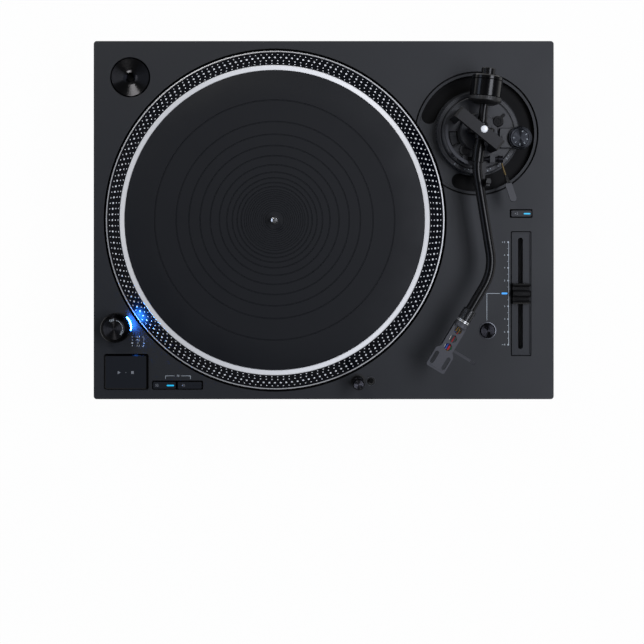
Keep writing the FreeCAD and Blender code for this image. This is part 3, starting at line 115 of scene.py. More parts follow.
def grained(name, dark, light, grain, bump, rough, shader):
    """A surface with a fine grain: two close colours, an uneven gloss and a shallow relief.

    grain is the width of a grain in mm, bump the relief in mm, and rough the least and most roughness.
    """
    material, tree, out = finish_tree(name)
    place = add(tree, "TexCoord").outputs["Object"]
    fine = add(tree, "TexNoise", None, {
        "Vector": place, "Scale": per_mm(grain), "Detail": 3.0, "Roughness": 0.6})
    broad = add(tree, "TexNoise", None, {"Vector": place, "Scale": per_mm(grain * 30), "Detail": 2.0})
    tint = add(tree, "Mix", COLOURS, {0: fine.outputs["Fac"], 6: srgb(dark), 7: srgb(light)})
    gloss = add(tree, "MapRange", None, {
        "Value": broad.outputs["Fac"], "From Min": 0.3, "From Max": 0.7,
        "To Min": rough[0], "To Max": rough[1]})
    relief = add(tree, "Bump", None, {"Strength": 1.0, "Distance": bump * MM, "Height": fine.outputs["Fac"]})
    inputs = {"Base Color": tint.outputs[2], "Roughness": gloss.outputs[0], "Normal": relief.outputs[0]}
    inputs.update(shader)
    surface = add(tree, "BsdfPrincipled", None, inputs)
    tree.links.new(surface.outputs[0], out.inputs["Surface"])
    return material


def turned(name, dark, light, line, centre, axis, rough, shader):
    """Metal turned on a lathe: fine rings about an axis, which spread each highlight into a fan."""
    material, tree, out = finish_tree(name)
    place = add(tree, "TexCoord").outputs["Object"]
    middle = Vector(centre) * MM
    moved = add(tree, "VectorMath", {"operation": "SUBTRACT"}, {0: place, 1: middle})
    flat = add(tree, "VectorMath", {"operation": "MULTIPLY"}, {0: moved.outputs[0], 1: axis})
    radius = add(tree, "VectorMath", {"operation": "LENGTH"}, {0: flat.outputs[0]})
    along = add(tree, "CombineXYZ", None, {"X": radius.outputs["Value"]})
    lines = add(tree, "TexNoise", None, {"Vector": along.outputs[0], "Scale": per_mm(line), "Detail": 4.0})
    metal = add(tree, "Mix", COLOURS, {0: lines.outputs["Fac"], 6: srgb(dark), 7: srgb(light)})
    facing = add(tree, "SeparateXYZ", None, {0: add(tree, "NewGeometry").outputs["Normal"]}).outputs["Z"]
    face = add(tree, "MapRange", None, {"Value": facing, "From Min": 0.95, "From Max": 0.98})
    tint = add(tree, "Mix", COLOURS, {0: face.outputs[0], 6: srgb("#0c0c0f"), 7: metal.outputs[2]})
    gloss = add(tree, "MapRange", None, {
        "Value": lines.outputs["Fac"], "To Min": rough[0], "To Max": rough[1]})
    inputs = {"Base Color": tint.outputs[2], "Roughness": gloss.outputs[0], "Metallic": 1.0}
    inputs.update(shader)
    if "Anisotropic" in shader:
        inputs["Tangent"] = add(tree, "Tangent", {"direction_type": "RADIAL", "axis": "Z"}).outputs[0]
    surface = add(tree, "BsdfPrincipled", None, inputs)
    tree.links.new(surface.outputs[0], out.inputs["Surface"])
    return material


def deck_finish():
    """Sandy powder coat on the deck's face; the wells and openings more than a millimetre below it are
    painted near black as painted shade, with less sheen.
    """
    material, tree, out = finish_tree("powder_coat_with_painted_well_shade")
    place = add(tree, "TexCoord").outputs["Object"]
    height = add(tree, "SeparateXYZ", None, {0: place}).outputs["Z"]
    face = add(tree, "MapRange", None, {
        "Value": height, "From Min": (DECK_Z - 1.6) * MM, "From Max": (DECK_Z - 1.0) * MM})
    sand = add(tree, "TexNoise", None, {
        "Vector": place, "Scale": per_mm(0.9), "Detail": 3.0, "Roughness": 0.6})
    cloud = add(tree, "TexNoise", None, {"Vector": place, "Scale": per_mm(60), "Detail": 2.0})
    coat = add(tree, "Mix", COLOURS, {0: sand.outputs["Fac"], 6: srgb("#0b0e13"), 7: srgb("#151920")})
    # Painted shade: below the deck's face the colour fades to near black, standing in for the shade in the
    # wells and openings.
    tint = add(tree, "Mix", COLOURS, {0: face.outputs[0], 6: srgb("#030304"), 7: coat.outputs[2]})
    sheen = add(tree, "MapRange", None, {"Value": face.outputs[0], "To Min": 0.12, "To Max": 0.48})
    gloss = add(tree, "MapRange", None, {
        "Value": cloud.outputs["Fac"], "From Min": 0.3, "From Max": 0.7, "To Min": 0.54, "To Max": 0.58})
    relief = add(tree, "Bump", None, {"Strength": 1.0, "Distance": 0.02 * MM, "Height": sand.outputs["Fac"]})
    surface = add(tree, "BsdfPrincipled", None, {
        "Base Color": tint.outputs[2], "Roughness": gloss.outputs[0], "Normal": relief.outputs[0],
        "Specular IOR Level": sheen.outputs[0]})
    tree.links.new(surface.outputs[0], out.inputs["Surface"])
    return material


def edged(name, dark, light, grain, rough, edge, lean=(0.93, 0.97)):
    """A satin face with painted shade on its edges and sides: whatever leans away from the top more than
    lean is painted darker.
    """
    material, tree, out = finish_tree(name)
    place = add(tree, "TexCoord").outputs["Object"]
    facing = add(tree, "SeparateXYZ", None, {0: add(tree, "NewGeometry").outputs["Normal"]}).outputs["Z"]
    face = add(tree, "MapRange", None, {"Value": facing, "From Min": lean[0], "From Max": lean[1]})
    fine = add(tree, "TexNoise", None, {
        "Vector": place, "Scale": per_mm(grain), "Detail": 3.0, "Roughness": 0.6})
    satin = add(tree, "Mix", COLOURS, {0: fine.outputs["Fac"], 6: srgb(dark), 7: srgb(light)})
    # Painted shade: faces that lean away from the top take the dark edge colour, standing in for the shade
    # in gaps and along sides.
    tint = add(tree, "Mix", COLOURS, {0: face.outputs[0], 6: srgb(edge), 7: satin.outputs[2]})
    gloss = add(tree, "MapRange", None, {"Value": face.outputs[0], "To Min": rough[0], "To Max": rough[1]})
    sheen = add(tree, "MapRange", None, {"Value": face.outputs[0], "To Min": 0.1, "To Max": 0.35})
    relief = add(tree, "Bump", None, {"Strength": 1.0, "Distance": 0.01 * MM, "Height": fine.outputs["Fac"]})
    surface = add(tree, "BsdfPrincipled", None, {
        "Base Color": tint.outputs[2], "Roughness": gloss.outputs[0], "Normal": relief.outputs[0],
        "Specular IOR Level": sheen.outputs[0]})
    tree.links.new(surface.outputs[0], out.inputs["Surface"])
    return material


def brush_finish():
    """Two rows of short dark bristles that close the fader's slot, over the steel can."""
    material, tree, out = finish_tree("nylon_brush_over_pressed_steel")
    place = add(tree, "TexCoord").outputs["Object"]
    height = add(tree, "SeparateXYZ", None, {0: place}).outputs["Z"]
    brush = add(tree, "MapRange", None, {
        "Value": height, "From Min": (DECK_Z - 8.0) * MM, "From Max": (DECK_Z - 7.5) * MM})
    rows = add(tree, "TexWave", {"bands_direction": "Y"}, {
        "Vector": place, "Scale": per_mm(12.0), "Distortion": 1.5, "Detail": 2.0,
        "Detail Scale": per_mm(1.0) / 100})
    hair = add(tree, "Mix", COLOURS, {0: rows.outputs["Fac"], 6: srgb("#17181b"), 7: srgb("#46484d")})
    tint = add(tree, "Mix", COLOURS, {0: brush.outputs[0], 6: srgb("#77797c"), 7: hair.outputs[2]})
    surface = add(tree, "BsdfPrincipled", None, {"Base Color": tint.outputs[2], "Roughness": 0.6})
    tree.links.new(surface.outputs[0], out.inputs["Surface"])
    return material


def strobe_finish():
    """The strobe lens, moulded in clear blue: only the sector over its lamp glows."""
    material, tree, out = finish_tree("lit_strobe_lens")
    place = add(tree, "TexCoord").outputs["Object"]
    lamp = (KNOB[0] * MM, KNOB[1] * MM, 0.0)
    moved = add(tree, "VectorMath", {"operation": "SUBTRACT"}, {0: place, 1: lamp})
    level = add(tree, "VectorMath", {"operation": "MULTIPLY"}, {0: moved.outputs[0], 1: (1, 1, 0)})
    way = add(tree, "VectorMath", {"operation": "NORMALIZE"}, {0: level.outputs[0]})
    middle = math.radians(17.0)
    near = add(tree, "VectorMath", {"operation": "DOT_PRODUCT"},
               {0: way.outputs[0], 1: (math.cos(middle), math.sin(middle), 0.0)})
    glow = add(tree, "MapRange", None, {
        "Value": near.outputs["Value"], "From Min": math.cos(math.radians(30.0)),
        "From Max": math.cos(math.radians(26.0)), "To Min": 0.0, "To Max": 100.0})
    cloud = add(tree, "TexNoise", None, {"Vector": place, "Scale": per_mm(2.0), "Detail": 1.0})
    uneven = add(tree, "MapRange", None, {"Value": cloud.outputs["Fac"], "To Min": 0.8, "To Max": 1.2})
    power = add(tree, "Math", {"operation": "MULTIPLY"}, {0: glow.outputs[0], 1: uneven.outputs[0]})
    surface = add(tree, "BsdfPrincipled", None, {
        "Base Color": srgb("#10202e"), "Roughness": 0.3, "Emission Color": srgb("#2a7dff"),
        "Emission Strength": power.outputs[0]})
    tree.links.new(surface.outputs[0], out.inputs["Surface"])
    return material


def cue_finish():
    """The blackened cross shaft, and beyond its hub the plain brass rod."""
    material, tree, out = finish_tree("blackened_shaft_and_brass_rod")
    place = add(tree, "TexCoord").outputs["Object"]
    across = add(tree, "SeparateXYZ", None, {0: place}).outputs["Y"]
    rod_share = add(tree, "MapRange", None, {"Value": across, "From Min": 55.2 * MM, "From Max": 54.6 * MM})
    lines = add(tree, "TexNoise", None, {"Vector": place, "Scale": per_mm(0.5), "Detail": 2.0})
    brass = add(tree, "Mix", COLOURS, {0: lines.outputs["Fac"], 6: srgb("#5d4f33"), 7: srgb("#7d6a45")})
    tint = add(tree, "Mix", COLOURS, {0: rod_share.outputs[0], 6: srgb("#1c1c20"), 7: brass.outputs[2]})
    surface = add(tree, "BsdfPrincipled", None, {
        "Base Color": tint.outputs[2], "Metallic": 0.8, "Roughness": 0.32})
    tree.links.new(surface.outputs[0], out.inputs["Surface"])
    return material


def paddle_finish():
    """Grey soft grip over the paddle; the cone behind it stays black."""
    material, tree, out = finish_tree("grey_soft_grip_and_black_cone")
    place = add(tree, "TexCoord").outputs["Object"]
    across = add(tree, "SeparateXYZ", None, {0: place}).outputs["Y"]
    grip = add(tree, "MapRange", None, {"Value": across, "From Min": 35.8 * MM, "From Max": 35.4 * MM})
    fine = add(tree, "TexNoise", None, {"Vector": place, "Scale": per_mm(0.6), "Detail": 2.0})
    grey = add(tree, "Mix", COLOURS, {0: fine.outputs["Fac"], 6: srgb("#3f4044"), 7: srgb("#4a4b4f")})
    tint = add(tree, "Mix", COLOURS, {0: grip.outputs[0], 6: srgb("#060607"), 7: grey.outputs[2]})
    relief = add(tree, "Bump", None, {"Strength": 1.0, "Distance": 0.01 * MM, "Height": fine.outputs["Fac"]})
    surface = add(tree, "BsdfPrincipled", None, {
        "Base Color": tint.outputs[2], "Roughness": 0.5, "Normal": relief.outputs[0],
        "Specular IOR Level": 0.35})
    tree.links.new(surface.outputs[0], out.inputs["Surface"])
    return material


def collar_finish():
    """Black ribbed grip; the collar's front end is left in bright turned steel."""
    material, tree, out = finish_tree("black_and_bright_turned_collar")
    place = add(tree, "TexCoord").outputs["Object"]
    heading = (math.cos(math.radians(SHELL_DEG)), math.sin(math.radians(SHELL_DEG)), 0.0)
    moved = add(tree, "VectorMath", {"operation": "SUBTRACT"}, {0: place, 1: Vector(SHELL) * MM})
    ahead = add(tree, "VectorMath", {"operation": "DOT_PRODUCT"}, {0: moved.outputs[0], 1: heading})
    front = add(tree, "MapRange", None, {
        "Value": ahead.outputs["Value"], "From Min": -4.2 * MM, "From Max": -3.9 * MM})
    along = add(tree, "CombineXYZ", None, {"X": ahead.outputs["Value"]})
    lines = add(tree, "TexWave", {"bands_direction": "X"}, {
        "Vector": along.outputs[0], "Scale": per_mm(4.4)})
    steel = add(tree, "Mix", COLOURS, {0: lines.outputs["Fac"], 6: srgb("#17181b"), 7: srgb("#eceded")})
    tint = add(tree, "Mix", COLOURS, {0: front.outputs[0], 6: srgb("#0a0c10"), 7: steel.outputs[2]})
    metal = add(tree, "Math", {"operation": "MULTIPLY"}, {0: front.outputs[0], 1: 0.7})
    surface = add(tree, "BsdfPrincipled", None, {
        "Base Color": tint.outputs[2], "Metallic": metal.outputs[0], "Roughness": 0.26})
    tree.links.new(surface.outputs[0], out.inputs["Surface"])
    return material


def lit(name, colour, strength, unlit):
    """A moulded lens with a light behind it, a little uneven, as light guides are."""
    material, tree, out = finish_tree(name)
    place = add(tree, "TexCoord").outputs["Object"]
    cloud = add(tree, "TexNoise", None, {"Vector": place, "Scale": per_mm(1.5), "Detail": 1.0})
    glow = add(tree, "MapRange", None, {
        "Value": cloud.outputs["Fac"], "To Min": strength * 0.8, "To Max": strength * 1.2})
    surface = add(tree, "BsdfPrincipled", None, {
        "Base Color": srgb(unlit), "Roughness": 0.3, "Emission Color": srgb(colour),
        "Emission Strength": glow.outputs[0]})
    tree.links.new(surface.outputs[0], out.inputs["Surface"])
    return material


# Finishes

# Powder-coated cast aluminium: a fine sand grain, drawn 0.9 mm wide so that it shows, and a soft sheen; the
# wells below the face are painted near black as shade.
deck_coat = deck_finish()
# Glass-filled moulding: spark-eroded grain, duller than the deck.
base_moulding = grained("spark_eroded_moulding", "#0a0b0c", "#111214", 0.8, 0.03, (0.48, 0.56),
                        {"Specular IOR Level": 0.18})
# Moulded black rubber with a dry surface, finer and a little bluer on the mat.
foot_rubber = grained("ribbed_rubber", "#0b0c0d", "#151618", 0.7, 0.03, (0.6, 0.75),
                      {"Specular IOR Level": 0.25})
mat_rubber = grained("record_mat_rubber", "#0d0f13", "#13151a", 1.0, 0.01, (0.52, 0.6),
                     {"Specular IOR Level": 0.25})
# ABS moulded in a polished tool: dark, with a clear but soft gloss.
gloss_abs = grained("polished_abs", "#050506", "#0a0a0c", 1.2, 0.003, (0.14, 0.2), {})
# ABS moulded in a grained tool: black without a mirror.
matt_abs = grained("matt_abs", "#070708", "#0d0e10", 0.6, 0.015, (0.42, 0.52), {})
# Painted pressings and castings of the arm base: a satin dark grey.
arm_paint = grained("satin_painted_casting", "#15161b", "#222429", 0.7, 0.01, (0.34, 0.42), {})
# Black lacquer over the drawn tube, and a glossier one on the weight: deep black with one soft streak.
arm_lacquer = grained("black_lacquered_tube", "#020203", "#040406", 1.5, 0.001, (0.24, 0.3),
                      {"Specular IOR Level": 0.2, "Coat Weight": 0.1, "Coat Roughness": 0.12})
weight_lacquer = grained("black_lacquered_weight", "#020203", "#040406", 1.5, 0.001, (0.16, 0.2),
                         {"Specular IOR Level": 0.25, "Coat Weight": 0.12, "Coat Roughness": 0.08})
# Bead-blasted and anodised aluminium of the headshell and its lift: an even grey with a fine sparkle; the
# headshell's sides are painted near black as painted shade.
shell_anodised = edged("bead_blasted_shell_with_painted_side_shade", "#393a3f", "#494a50", 0.5, (0.3, 0.46), "#08080a",
                       (0.25, 0.6))
lift_anodised = grained("bead_blasted_anodised_lift", "#2c2d31", "#3a3b40", 0.5, 0.012, (0.4, 0.46),
                        {"Metallic": 0.3})
# Brushed and anodised aluminium of the bridge: nearly black, with a satin top.
bridge_anodised = grained("brushed_dark_anodised", "#0c0c0f", "#151518", 0.5, 0.01, (0.38, 0.44),
                          {"Metallic": 0.3})
# Bright bumps turned out of the casting: satin, so that they stay light from every side.
dot_metal = grained("satin_cast_aluminium", "#e4e8ee", "#fafbfc", 0.6, 0.004, (0.3, 0.4), {"Metallic": 0.1})
# Fine turned aluminium rings: a soft bright line.
ring_metal = grained("turned_aluminium_ring", "#505257", "#63656a", 0.6, 0.004, (0.3, 0.4),
                     {"Metallic": 0.8})
# Zinc-plated and polished steel: one dull and one clear.
zinc_steel = grained("zinc_plated_steel", "#8f9194", "#b4b6b8", 0.6, 0.01, (0.25, 0.4), {"Metallic": 1.0})
polished_steel = grained("polished_steel", "#c4c5c7", "#dadbdc", 1.0, 0.002, (0.12, 0.2), {"Metallic": 1.0})
# Turned brass, gilt contacts, and gilt worn brown by handling.
turned_brass = grained("turned_brass", "#9a7b3c", "#b8964e", 0.5, 0.01, (0.3, 0.4), {"Metallic": 1.0})
gilt = grained("gilt_contacts", "#b98f3f", "#d6ae5c", 0.4, 0.004, (0.2, 0.3), {"Metallic": 1.0})
worn_gilt = grained("worn_gilt_clips", "#4e3d1c", "#8a6b31", 0.4, 0.006, (0.3, 0.4), {"Metallic": 0.9})
# Inside: enamelled copper wire, glass epoxy boards and a pressed ferrite magnet.
copper_wire = grained("enamelled_copper", "#7d3f20", "#a5602f", 0.4, 0.03, (0.35, 0.5), {"Metallic": 0.9})
glass_epoxy = grained("glass_epoxy_board", "#0f3a24", "#17492f", 0.8, 0.01, (0.35, 0.5), {})
ferrite = grained("ferrite_magnet", "#232325", "#303033", 0.6, 0.03, (0.55, 0.7), {})
# Screen-printed inks: matt, light on the deck and greyer on the buttons.
print_ink = grained("screen_printed_ink", "#aab4bc", "#c4ccd3", 0.5, 0.004, (0.5, 0.6), {})
faint_ink = grained("grey_screen_printed_ink", "#6d7177", "#82868c", 0.5, 0.004, (0.5, 0.6), {})
# Black anodised and turned: the rings fan the light out into two narrow wedges.
FAN = {"Anisotropic": 0.95, "Anisotropic Rotation": 0.25}
LEVEL = (1, 1, 0)
knob_turned = turned("turned_black_anodised", "#222226", "#545458", 0.7, KNOB + (0.0,), LEVEL, (0.24, 0.34),
                     FAN)
adapter_turned = turned("turned_dark_adapter", "#1c1c20", "#4e4e50", 0.7, ADAPTER + (0.0,), LEVEL,
                        (0.18, 0.26), FAN)
reset_turned = turned("turned_black_reset", "#151518", "#404045", 0.7, RESET + (0.0,), LEVEL, (0.18, 0.26),
                      FAN)
dial_turned = turned("turned_black_dial", "#1c1d20", "#393b3f", 0.5, SKATE + (0.0,), LEVEL, (0.28, 0.38),
                     FAN)
lamp_turned = turned("turned_black_lamp", "#2c2c32", "#5c5c62", 0.5, LAMP + (0.0,), LEVEL, (0.28, 0.38), FAN)
# A small casting left in its own satin grey.
lifter_metal = grained("satin_grey_casting", "#2c2d31", "#3b3c41", 0.6, 0.008, (0.34, 0.44),
                       {"Metallic": 0.5})
cue_metal = cue_finish()
# Keys and frames moulded in a grained tool; their edges and sides are painted near black as shade, which
# draws a black line round each.
key_abs = edged("grained_abs_with_painted_edge_shade", "#0c1016", "#141820", 0.8, (0.2, 0.44), "#030304")
# Clear lenses with a lamp behind them: an even glow, a little brighter in places.
blue_lens = lit("lit_blue_lens", "#20b4e8", 1.1, "#0c3040")
zero_lens = lit("lit_zero_lens", "#3f9af0", 1.15, "#16405a")
strobe_lens = strobe_finish()


def platter_finish():
    """Diamond-turned bright edges over a dark coated rim, told apart by radius and height."""
    material, tree, out = finish_tree("diamond_turned_platter")
    place = add(tree, "TexCoord").outputs["Object"]
    middle = (SPIN[0] * MM, SPIN[1] * MM, 0.0)
    moved = add(tree, "VectorMath", {"operation": "SUBTRACT"}, {0: place, 1: middle})
    flat = add(tree, "VectorMath", {"operation": "MULTIPLY"}, {0: moved.outputs[0], 1: (1, 1, 0)})
    radius = add(tree, "VectorMath", {"operation": "LENGTH"}, {0: flat.outputs[0]}).outputs["Value"]
    height = add(tree, "SeparateXYZ", None, {0: place}).outputs["Z"]
    inner = add(tree, "Math", {"operation": "LESS_THAN"}, {0: radius, 1: (BEVEL_TOP[0] - 0.1) * MM})
    outer = add(tree, "Math", {"operation": "GREATER_THAN"}, {0: radius, 1: (BEVEL_FOOT[0] + 0.5) * MM})
    above = add(tree, "Math", {"operation": "GREATER_THAN"}, {0: height, 1: (DECK_Z + 0.5) * MM})
    dulled = add(tree, "Math", {"operation": "MULTIPLY"}, {0: outer.outputs[0], 1: 0.45})
    either = add(tree, "Math", {"operation": "MAXIMUM"}, {0: inner.outputs[0], 1: dulled.outputs[0]})
    both = add(tree, "Math", {"operation": "MULTIPLY"}, {0: either.outputs[0], 1: above.outputs[0]})
    bright = both.outputs[0]
    along = add(tree, "CombineXYZ", None, {"X": radius})
    lines = add(tree, "TexNoise", None, {"Vector": along.outputs[0], "Scale": per_mm(0.6), "Detail": 3.0})
    metal = add(tree, "Mix", COLOURS, {0: lines.outputs["Fac"], 6: srgb("#f4f5f7"), 7: srgb("#ffffff")})
    coat = add(tree, "Mix", COLOURS, {0: lines.outputs["Fac"], 6: srgb("#04060c"), 7: srgb("#070910")})
    tint = add(tree, "Mix", COLOURS, {0: bright, 6: coat.outputs[2], 7: metal.outputs[2]})
    gloss = add(tree, "MapRange", None, {"Value": bright, "To Min": 0.3, "To Max": 0.36})
    metallic = add(tree, "Math", {"operation": "MULTIPLY"}, {0: bright, 1: 0.4})
    shine = add(tree, "MapRange", None, {"Value": bright, "To Min": 0.12, "To Max": 0.5})
    surface = add(tree, "BsdfPrincipled", None, {
        "Base Color": tint.outputs[2], "Metallic": metallic.outputs[0], "Roughness": gloss.outputs[0],
        "Specular IOR Level": shine.outputs[0], "Anisotropic": 0.6,
        "Tangent": add(tree, "Tangent", {"direction_type": "RADIAL", "axis": "Z"}).outputs[0]})
    tree.links.new(surface.outputs[0], out.inputs["Surface"])
    return material


def sleeve_finish(name, code):
    """Soft PVC insulation of one lead, slightly uneven in colour."""
    return grained(name, code, code, 0.4, 0.004, (0.4, 0.5), {})


CORNERS = (("front_left", -1, -1), ("front_right", 1, -1), ("rear_left", -1, 1), ("rear_right", 1, 1))
FINISHES = {
    "top_panel": deck_coat, "base_shell": base_moulding, "case_screws": zinc_steel,
    "bearing_housing": turned_brass, "stator_board": glass_epoxy, "stator_coils": copper_wire,
    "control_board": glass_epoxy, "power_supply": glass_epoxy, "ac_inlet": matt_abs,
    "terminal_plate": matt_abs, "phono_jacks": gilt, "ground_terminal": gilt, "platter": platter_finish(),
    "spindle": polished_steel, "rotor_magnet": ferrite, "rubber_mat": mat_rubber,
    "adapter_45": adapter_turned, "strobe_housing": gloss_abs, "strobe_window": strobe_lens,
    "power_knob": knob_turned, "start_stop_button": key_abs, "speed_button_33": key_abs,
    "speed_button_45": key_abs, "light_33": blue_lens, "x2_button": key_abs, "light_x2": blue_lens,
    "reset_button": reset_turned, "pitch_zero_light": zero_lens, "pitch_frame": key_abs,
    "pitch_fader": brush_finish(), "pitch_knob": gloss_abs, "lamp_sleeve": matt_abs,
    "stylus_lamp": lamp_turned, "lamp_release_button": gloss_abs, "arm_mount": arm_paint,
    "height_ring": arm_paint, "arm_base_plate": arm_paint, "gimbal_bridge": bridge_anodised,
    "bridge_pivot_cap": dot_metal, "gimbal_ring": arm_lacquer, "arm_tube": arm_lacquer,
    "counterweight": weight_lacquer, "weight_scale_ring": matt_abs, "locking_collar": collar_finish(),
    "headshell": shell_anodised, "finger_lift": lift_anodised, "lead_clips": worn_gilt,
    "cartridge_leads": matt_abs, "arm_rest": matt_abs, "arm_clip": matt_abs,
    "anti_skate_housing": arm_paint, "anti_skate_dial": dial_turned, "height_lock_knob": arm_lacquer,
    "cue_lever": cue_metal, "cue_paddle": paddle_finish(), "arm_lifter": lifter_metal,
}
FINISHES.update({"foot_" + corner: foot_rubber for corner, _, _ in CORNERS})

for node_name, finish in FINISHES.items():
    nodes[node_name].data.materials.clear()
    nodes[node_name].data.materials.append(finish)


# Building pieces


def piece(name, shape, finish, body, replaced=(), sharp_deg=30.0):
    """A mesh object from (points in mm, faces), smooth but for its sharp edges, riding on a body."""
    points, faces = shape
    mesh = bpy.data.meshes.new(name)
    mesh.from_pydata([(x * MM, y * MM, z * MM) for x, y, z in points], [], faces)
    mesh.validate()
    mesh.shade_smooth()
    mesh.set_sharp_from_angle(angle=math.radians(sharp_deg))
    mesh.materials.append(finish)
    thing = bpy.data.objects.new(name, mesh)
    bpy.context.scene.collection.objects.link(thing)
    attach(thing, body)
    if replaced:
        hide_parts(*replaced)
    return thing


def joined(shapes):
    """Several shapes as one list of points and faces."""
    points, faces = [], []
    for more_points, more_faces in shapes:
        start = len(points)
        points.extend(more_points)
        faces.extend([tuple(start + n for n in face) for face in more_faces])
    return points, faces


def around(centre, radius, angle):
    """A place on a circle about a plan point, at an angle in radians."""
    return centre[0] + radius * math.cos(angle), centre[1] + radius * math.sin(angle)


def ring_faces(steps, rows, closed=True):
    """The faces between each outline of a ring and the next; an open outline isn't joined end to start."""
    faces = []
    for n in range(steps):
        here, there = n * rows, (n + 1) % steps * rows
        for m in range(rows if closed else rows - 1):
            after = (m + 1) % rows
            faces.append((here + m, there + m, there + after, here + after))
    return faces


def lathe(profile, centre, steps):
    """A closed outline of (radius, height) turned about an upright axis."""
    points = [around(centre, radius, FULL_TURN * n / steps) + (height,)
              for n in range(steps) for radius, height in profile]
    return points, ring_faces(steps, len(profile))


def rod(start, end, radius, sides=12):
    """A round rod between two points."""
    a, b = Vector(start), Vector(end)
    way = (b - a).normalized()
    across = way.orthogonal().normalized()
    beside = way.cross(across)
    points = []
    for place in (a, b):
        for n in range(sides):
            angle = FULL_TURN * n / sides
            points.append(tuple(place + (across * math.cos(angle) + beside * math.sin(angle)) * radius))
    faces = [(n, (n + 1) % sides, sides + (n + 1) % sides, sides + n) for n in range(sides)]
    faces.append(tuple(reversed(range(sides))))
    faces.append(tuple(range(sides, 2 * sides)))
    return points, faces


def slab(corners, low, high):
    """An upright slab from its plan corners."""
    count = len(corners)
    points = [(x, y, low) for x, y in corners] + [(x, y, high) for x, y in corners]
    faces = [(n, (n + 1) % count, count + (n + 1) % count, count + n) for n in range(count)]
    faces.append(tuple(reversed(range(count))))
    faces.append(tuple(range(count, 2 * count)))
    return points, faces


def bar_corners(a, b, width):
    """The plan corners of a straight bar between two places."""
    start, end = Vector(a), Vector(b)
    side = (end - start).normalized().orthogonal() * width / 2
    return [tuple(start + side), tuple(start - side), tuple(end - side), tuple(end + side)]


def stroke(a, b, width, height):
    """A printed line on a level surface."""
    return slab(bar_corners(a, b, width), height + PRINT_LIFT, height + PRINT_LIFT + PRINT_DEPTH)


def spot(x, y, radius, height, sides=16):
    """A printed dot on a level surface."""
    corners = [around((x, y), radius, FULL_TURN * n / sides) for n in range(sides)]
    return slab(corners, height + PRINT_LIFT, height + PRINT_LIFT + PRINT_DEPTH)


def lettering(text, x, y, height, size, turn_deg=0.0):
    """Printed figures centred on a place of a level surface; size is a figure's height in mm."""
    curve = bpy.data.curves.new("figures", "FONT")
    curve.body = text
    curve.size = size * 1.38
    curve.align_x = "CENTER"
    curve.align_y = "CENTER"
    curve.resolution_u = 3
    helper = bpy.data.objects.new("figures", curve)
    bpy.context.scene.collection.objects.link(helper)
    bpy.context.view_layer.update()
    outline = bpy.data.meshes.new_from_object(helper)
    bpy.data.objects.remove(helper)
    turn = Matrix.Rotation(math.radians(turn_deg), 2)
    points = []
    for v in outline.vertices:
        flat = turn @ Vector((v.co.x, v.co.y))
        points.append((x + flat.x, y + flat.y, height + PRINT_LIFT + PRINT_DEPTH))
    faces = [tuple(face.vertices) for face in outline.polygons]
    bpy.data.meshes.remove(outline)
    return points, faces


def along_shell(s, t, z=0.0):
    """A place on the headshell: s ahead of its back end, t towards its lift, z above its middle."""
    heading = math.radians(SHELL_DEG)
    ahead = around(SHELL, s, heading)
    return around(ahead, t, heading + math.pi / 2) + (SHELL[2] + z,)


def round_arm(radius, deg):
    """A place on a circle about the arm's upright axis."""
    return around(ARM, radius, math.radians(deg))


# Platter and mat

MAT_GROOVES = [116.4, 95.5, 83.2, 72.3, 62.4, 53.6, 46.4, 41.0, 36.4, 32.5]
MAT_GROOVES += [29.5 - 2.05 * n for n in range(11)]


def record_mat():
    """The ribbed mat: a rolled rim and rings that lie closer together towards the middle."""
    outline = [(HUB_R, MAT_LOW), (MAT_R, MAT_LOW), (MAT_R, MAT_TOP - 0.8), (MAT_R - 0.35, MAT_TOP - 0.3),
               (MAT_R - 1.2, MAT_TOP)]
    for radius in MAT_GROOVES:
        half = 0.62 if radius > 31 else 0.42
        depth = 0.55 if radius > 31 else 0.35
        outline += [(radius + half, MAT_TOP), (radius + half * 0.45, MAT_TOP - depth),
                    (radius - half * 0.45, MAT_TOP - depth), (radius - half, MAT_TOP)]
    outline.append((HUB_R, MAT_TOP))
    piece("ribbed_mat", lathe(outline, SPIN, 240), mat_rubber, "mat", ("rubber_mat",))


def strobe_dot(radius_along, angle, size):
    """One polished bump on the platter's bevel; radius_along runs from 0 at its top to 1 at its foot."""
    slope = Vector((BEVEL_FOOT[0] - BEVEL_TOP[0], 0, BEVEL_FOOT[1] - BEVEL_TOP[1]))
    seat = Vector((BEVEL_TOP[0], 0, BEVEL_TOP[1])) + slope * radius_along
    down = slope.normalized()
    out = Vector((-down.z, 0, down.x))
    side = Vector((0, 1, 0))
    turn = Matrix.Rotation(angle, 3, "Z")
    middle = Vector((SPIN[0], SPIN[1], 0))
    points = []
    for share, lift in ((1.0, -0.05), (0.82, 0.22), (0.45, 0.36)):
        for n in range(8):
            angle_on_dot = FULL_TURN * (n + 0.5) / 8
            ray = down * math.cos(angle_on_dot) + side * math.sin(angle_on_dot)
            place = seat + ray * size * share + out * size * lift
            points.append(tuple(middle + turn @ place))
    faces = []
    for row in range(2):
        for n in range(8):
            a, b = row * 8 + n, row * 8 + (n + 1) % 8
            faces.append((a, a + 8, b + 8, b))
    faces.append(tuple(reversed(range(16, 24))))
    return points, faces


def strobe_rows():
    """Four rows of bumps, each with its own count, so that each seems to stand still at its own speed."""
    dots = []
    for share, count, size in ((0.84, 186, 0.64), (0.60, 180, 1.06), (0.34, 174, 0.68), (0.12, 170, 0.62)):
        for n in range(count):
            dots.append(strobe_dot(share, FULL_TURN * n / count, size))
    piece("strobe_bumps", joined(dots), dot_metal, "platter", (), 60.0)


# Prints


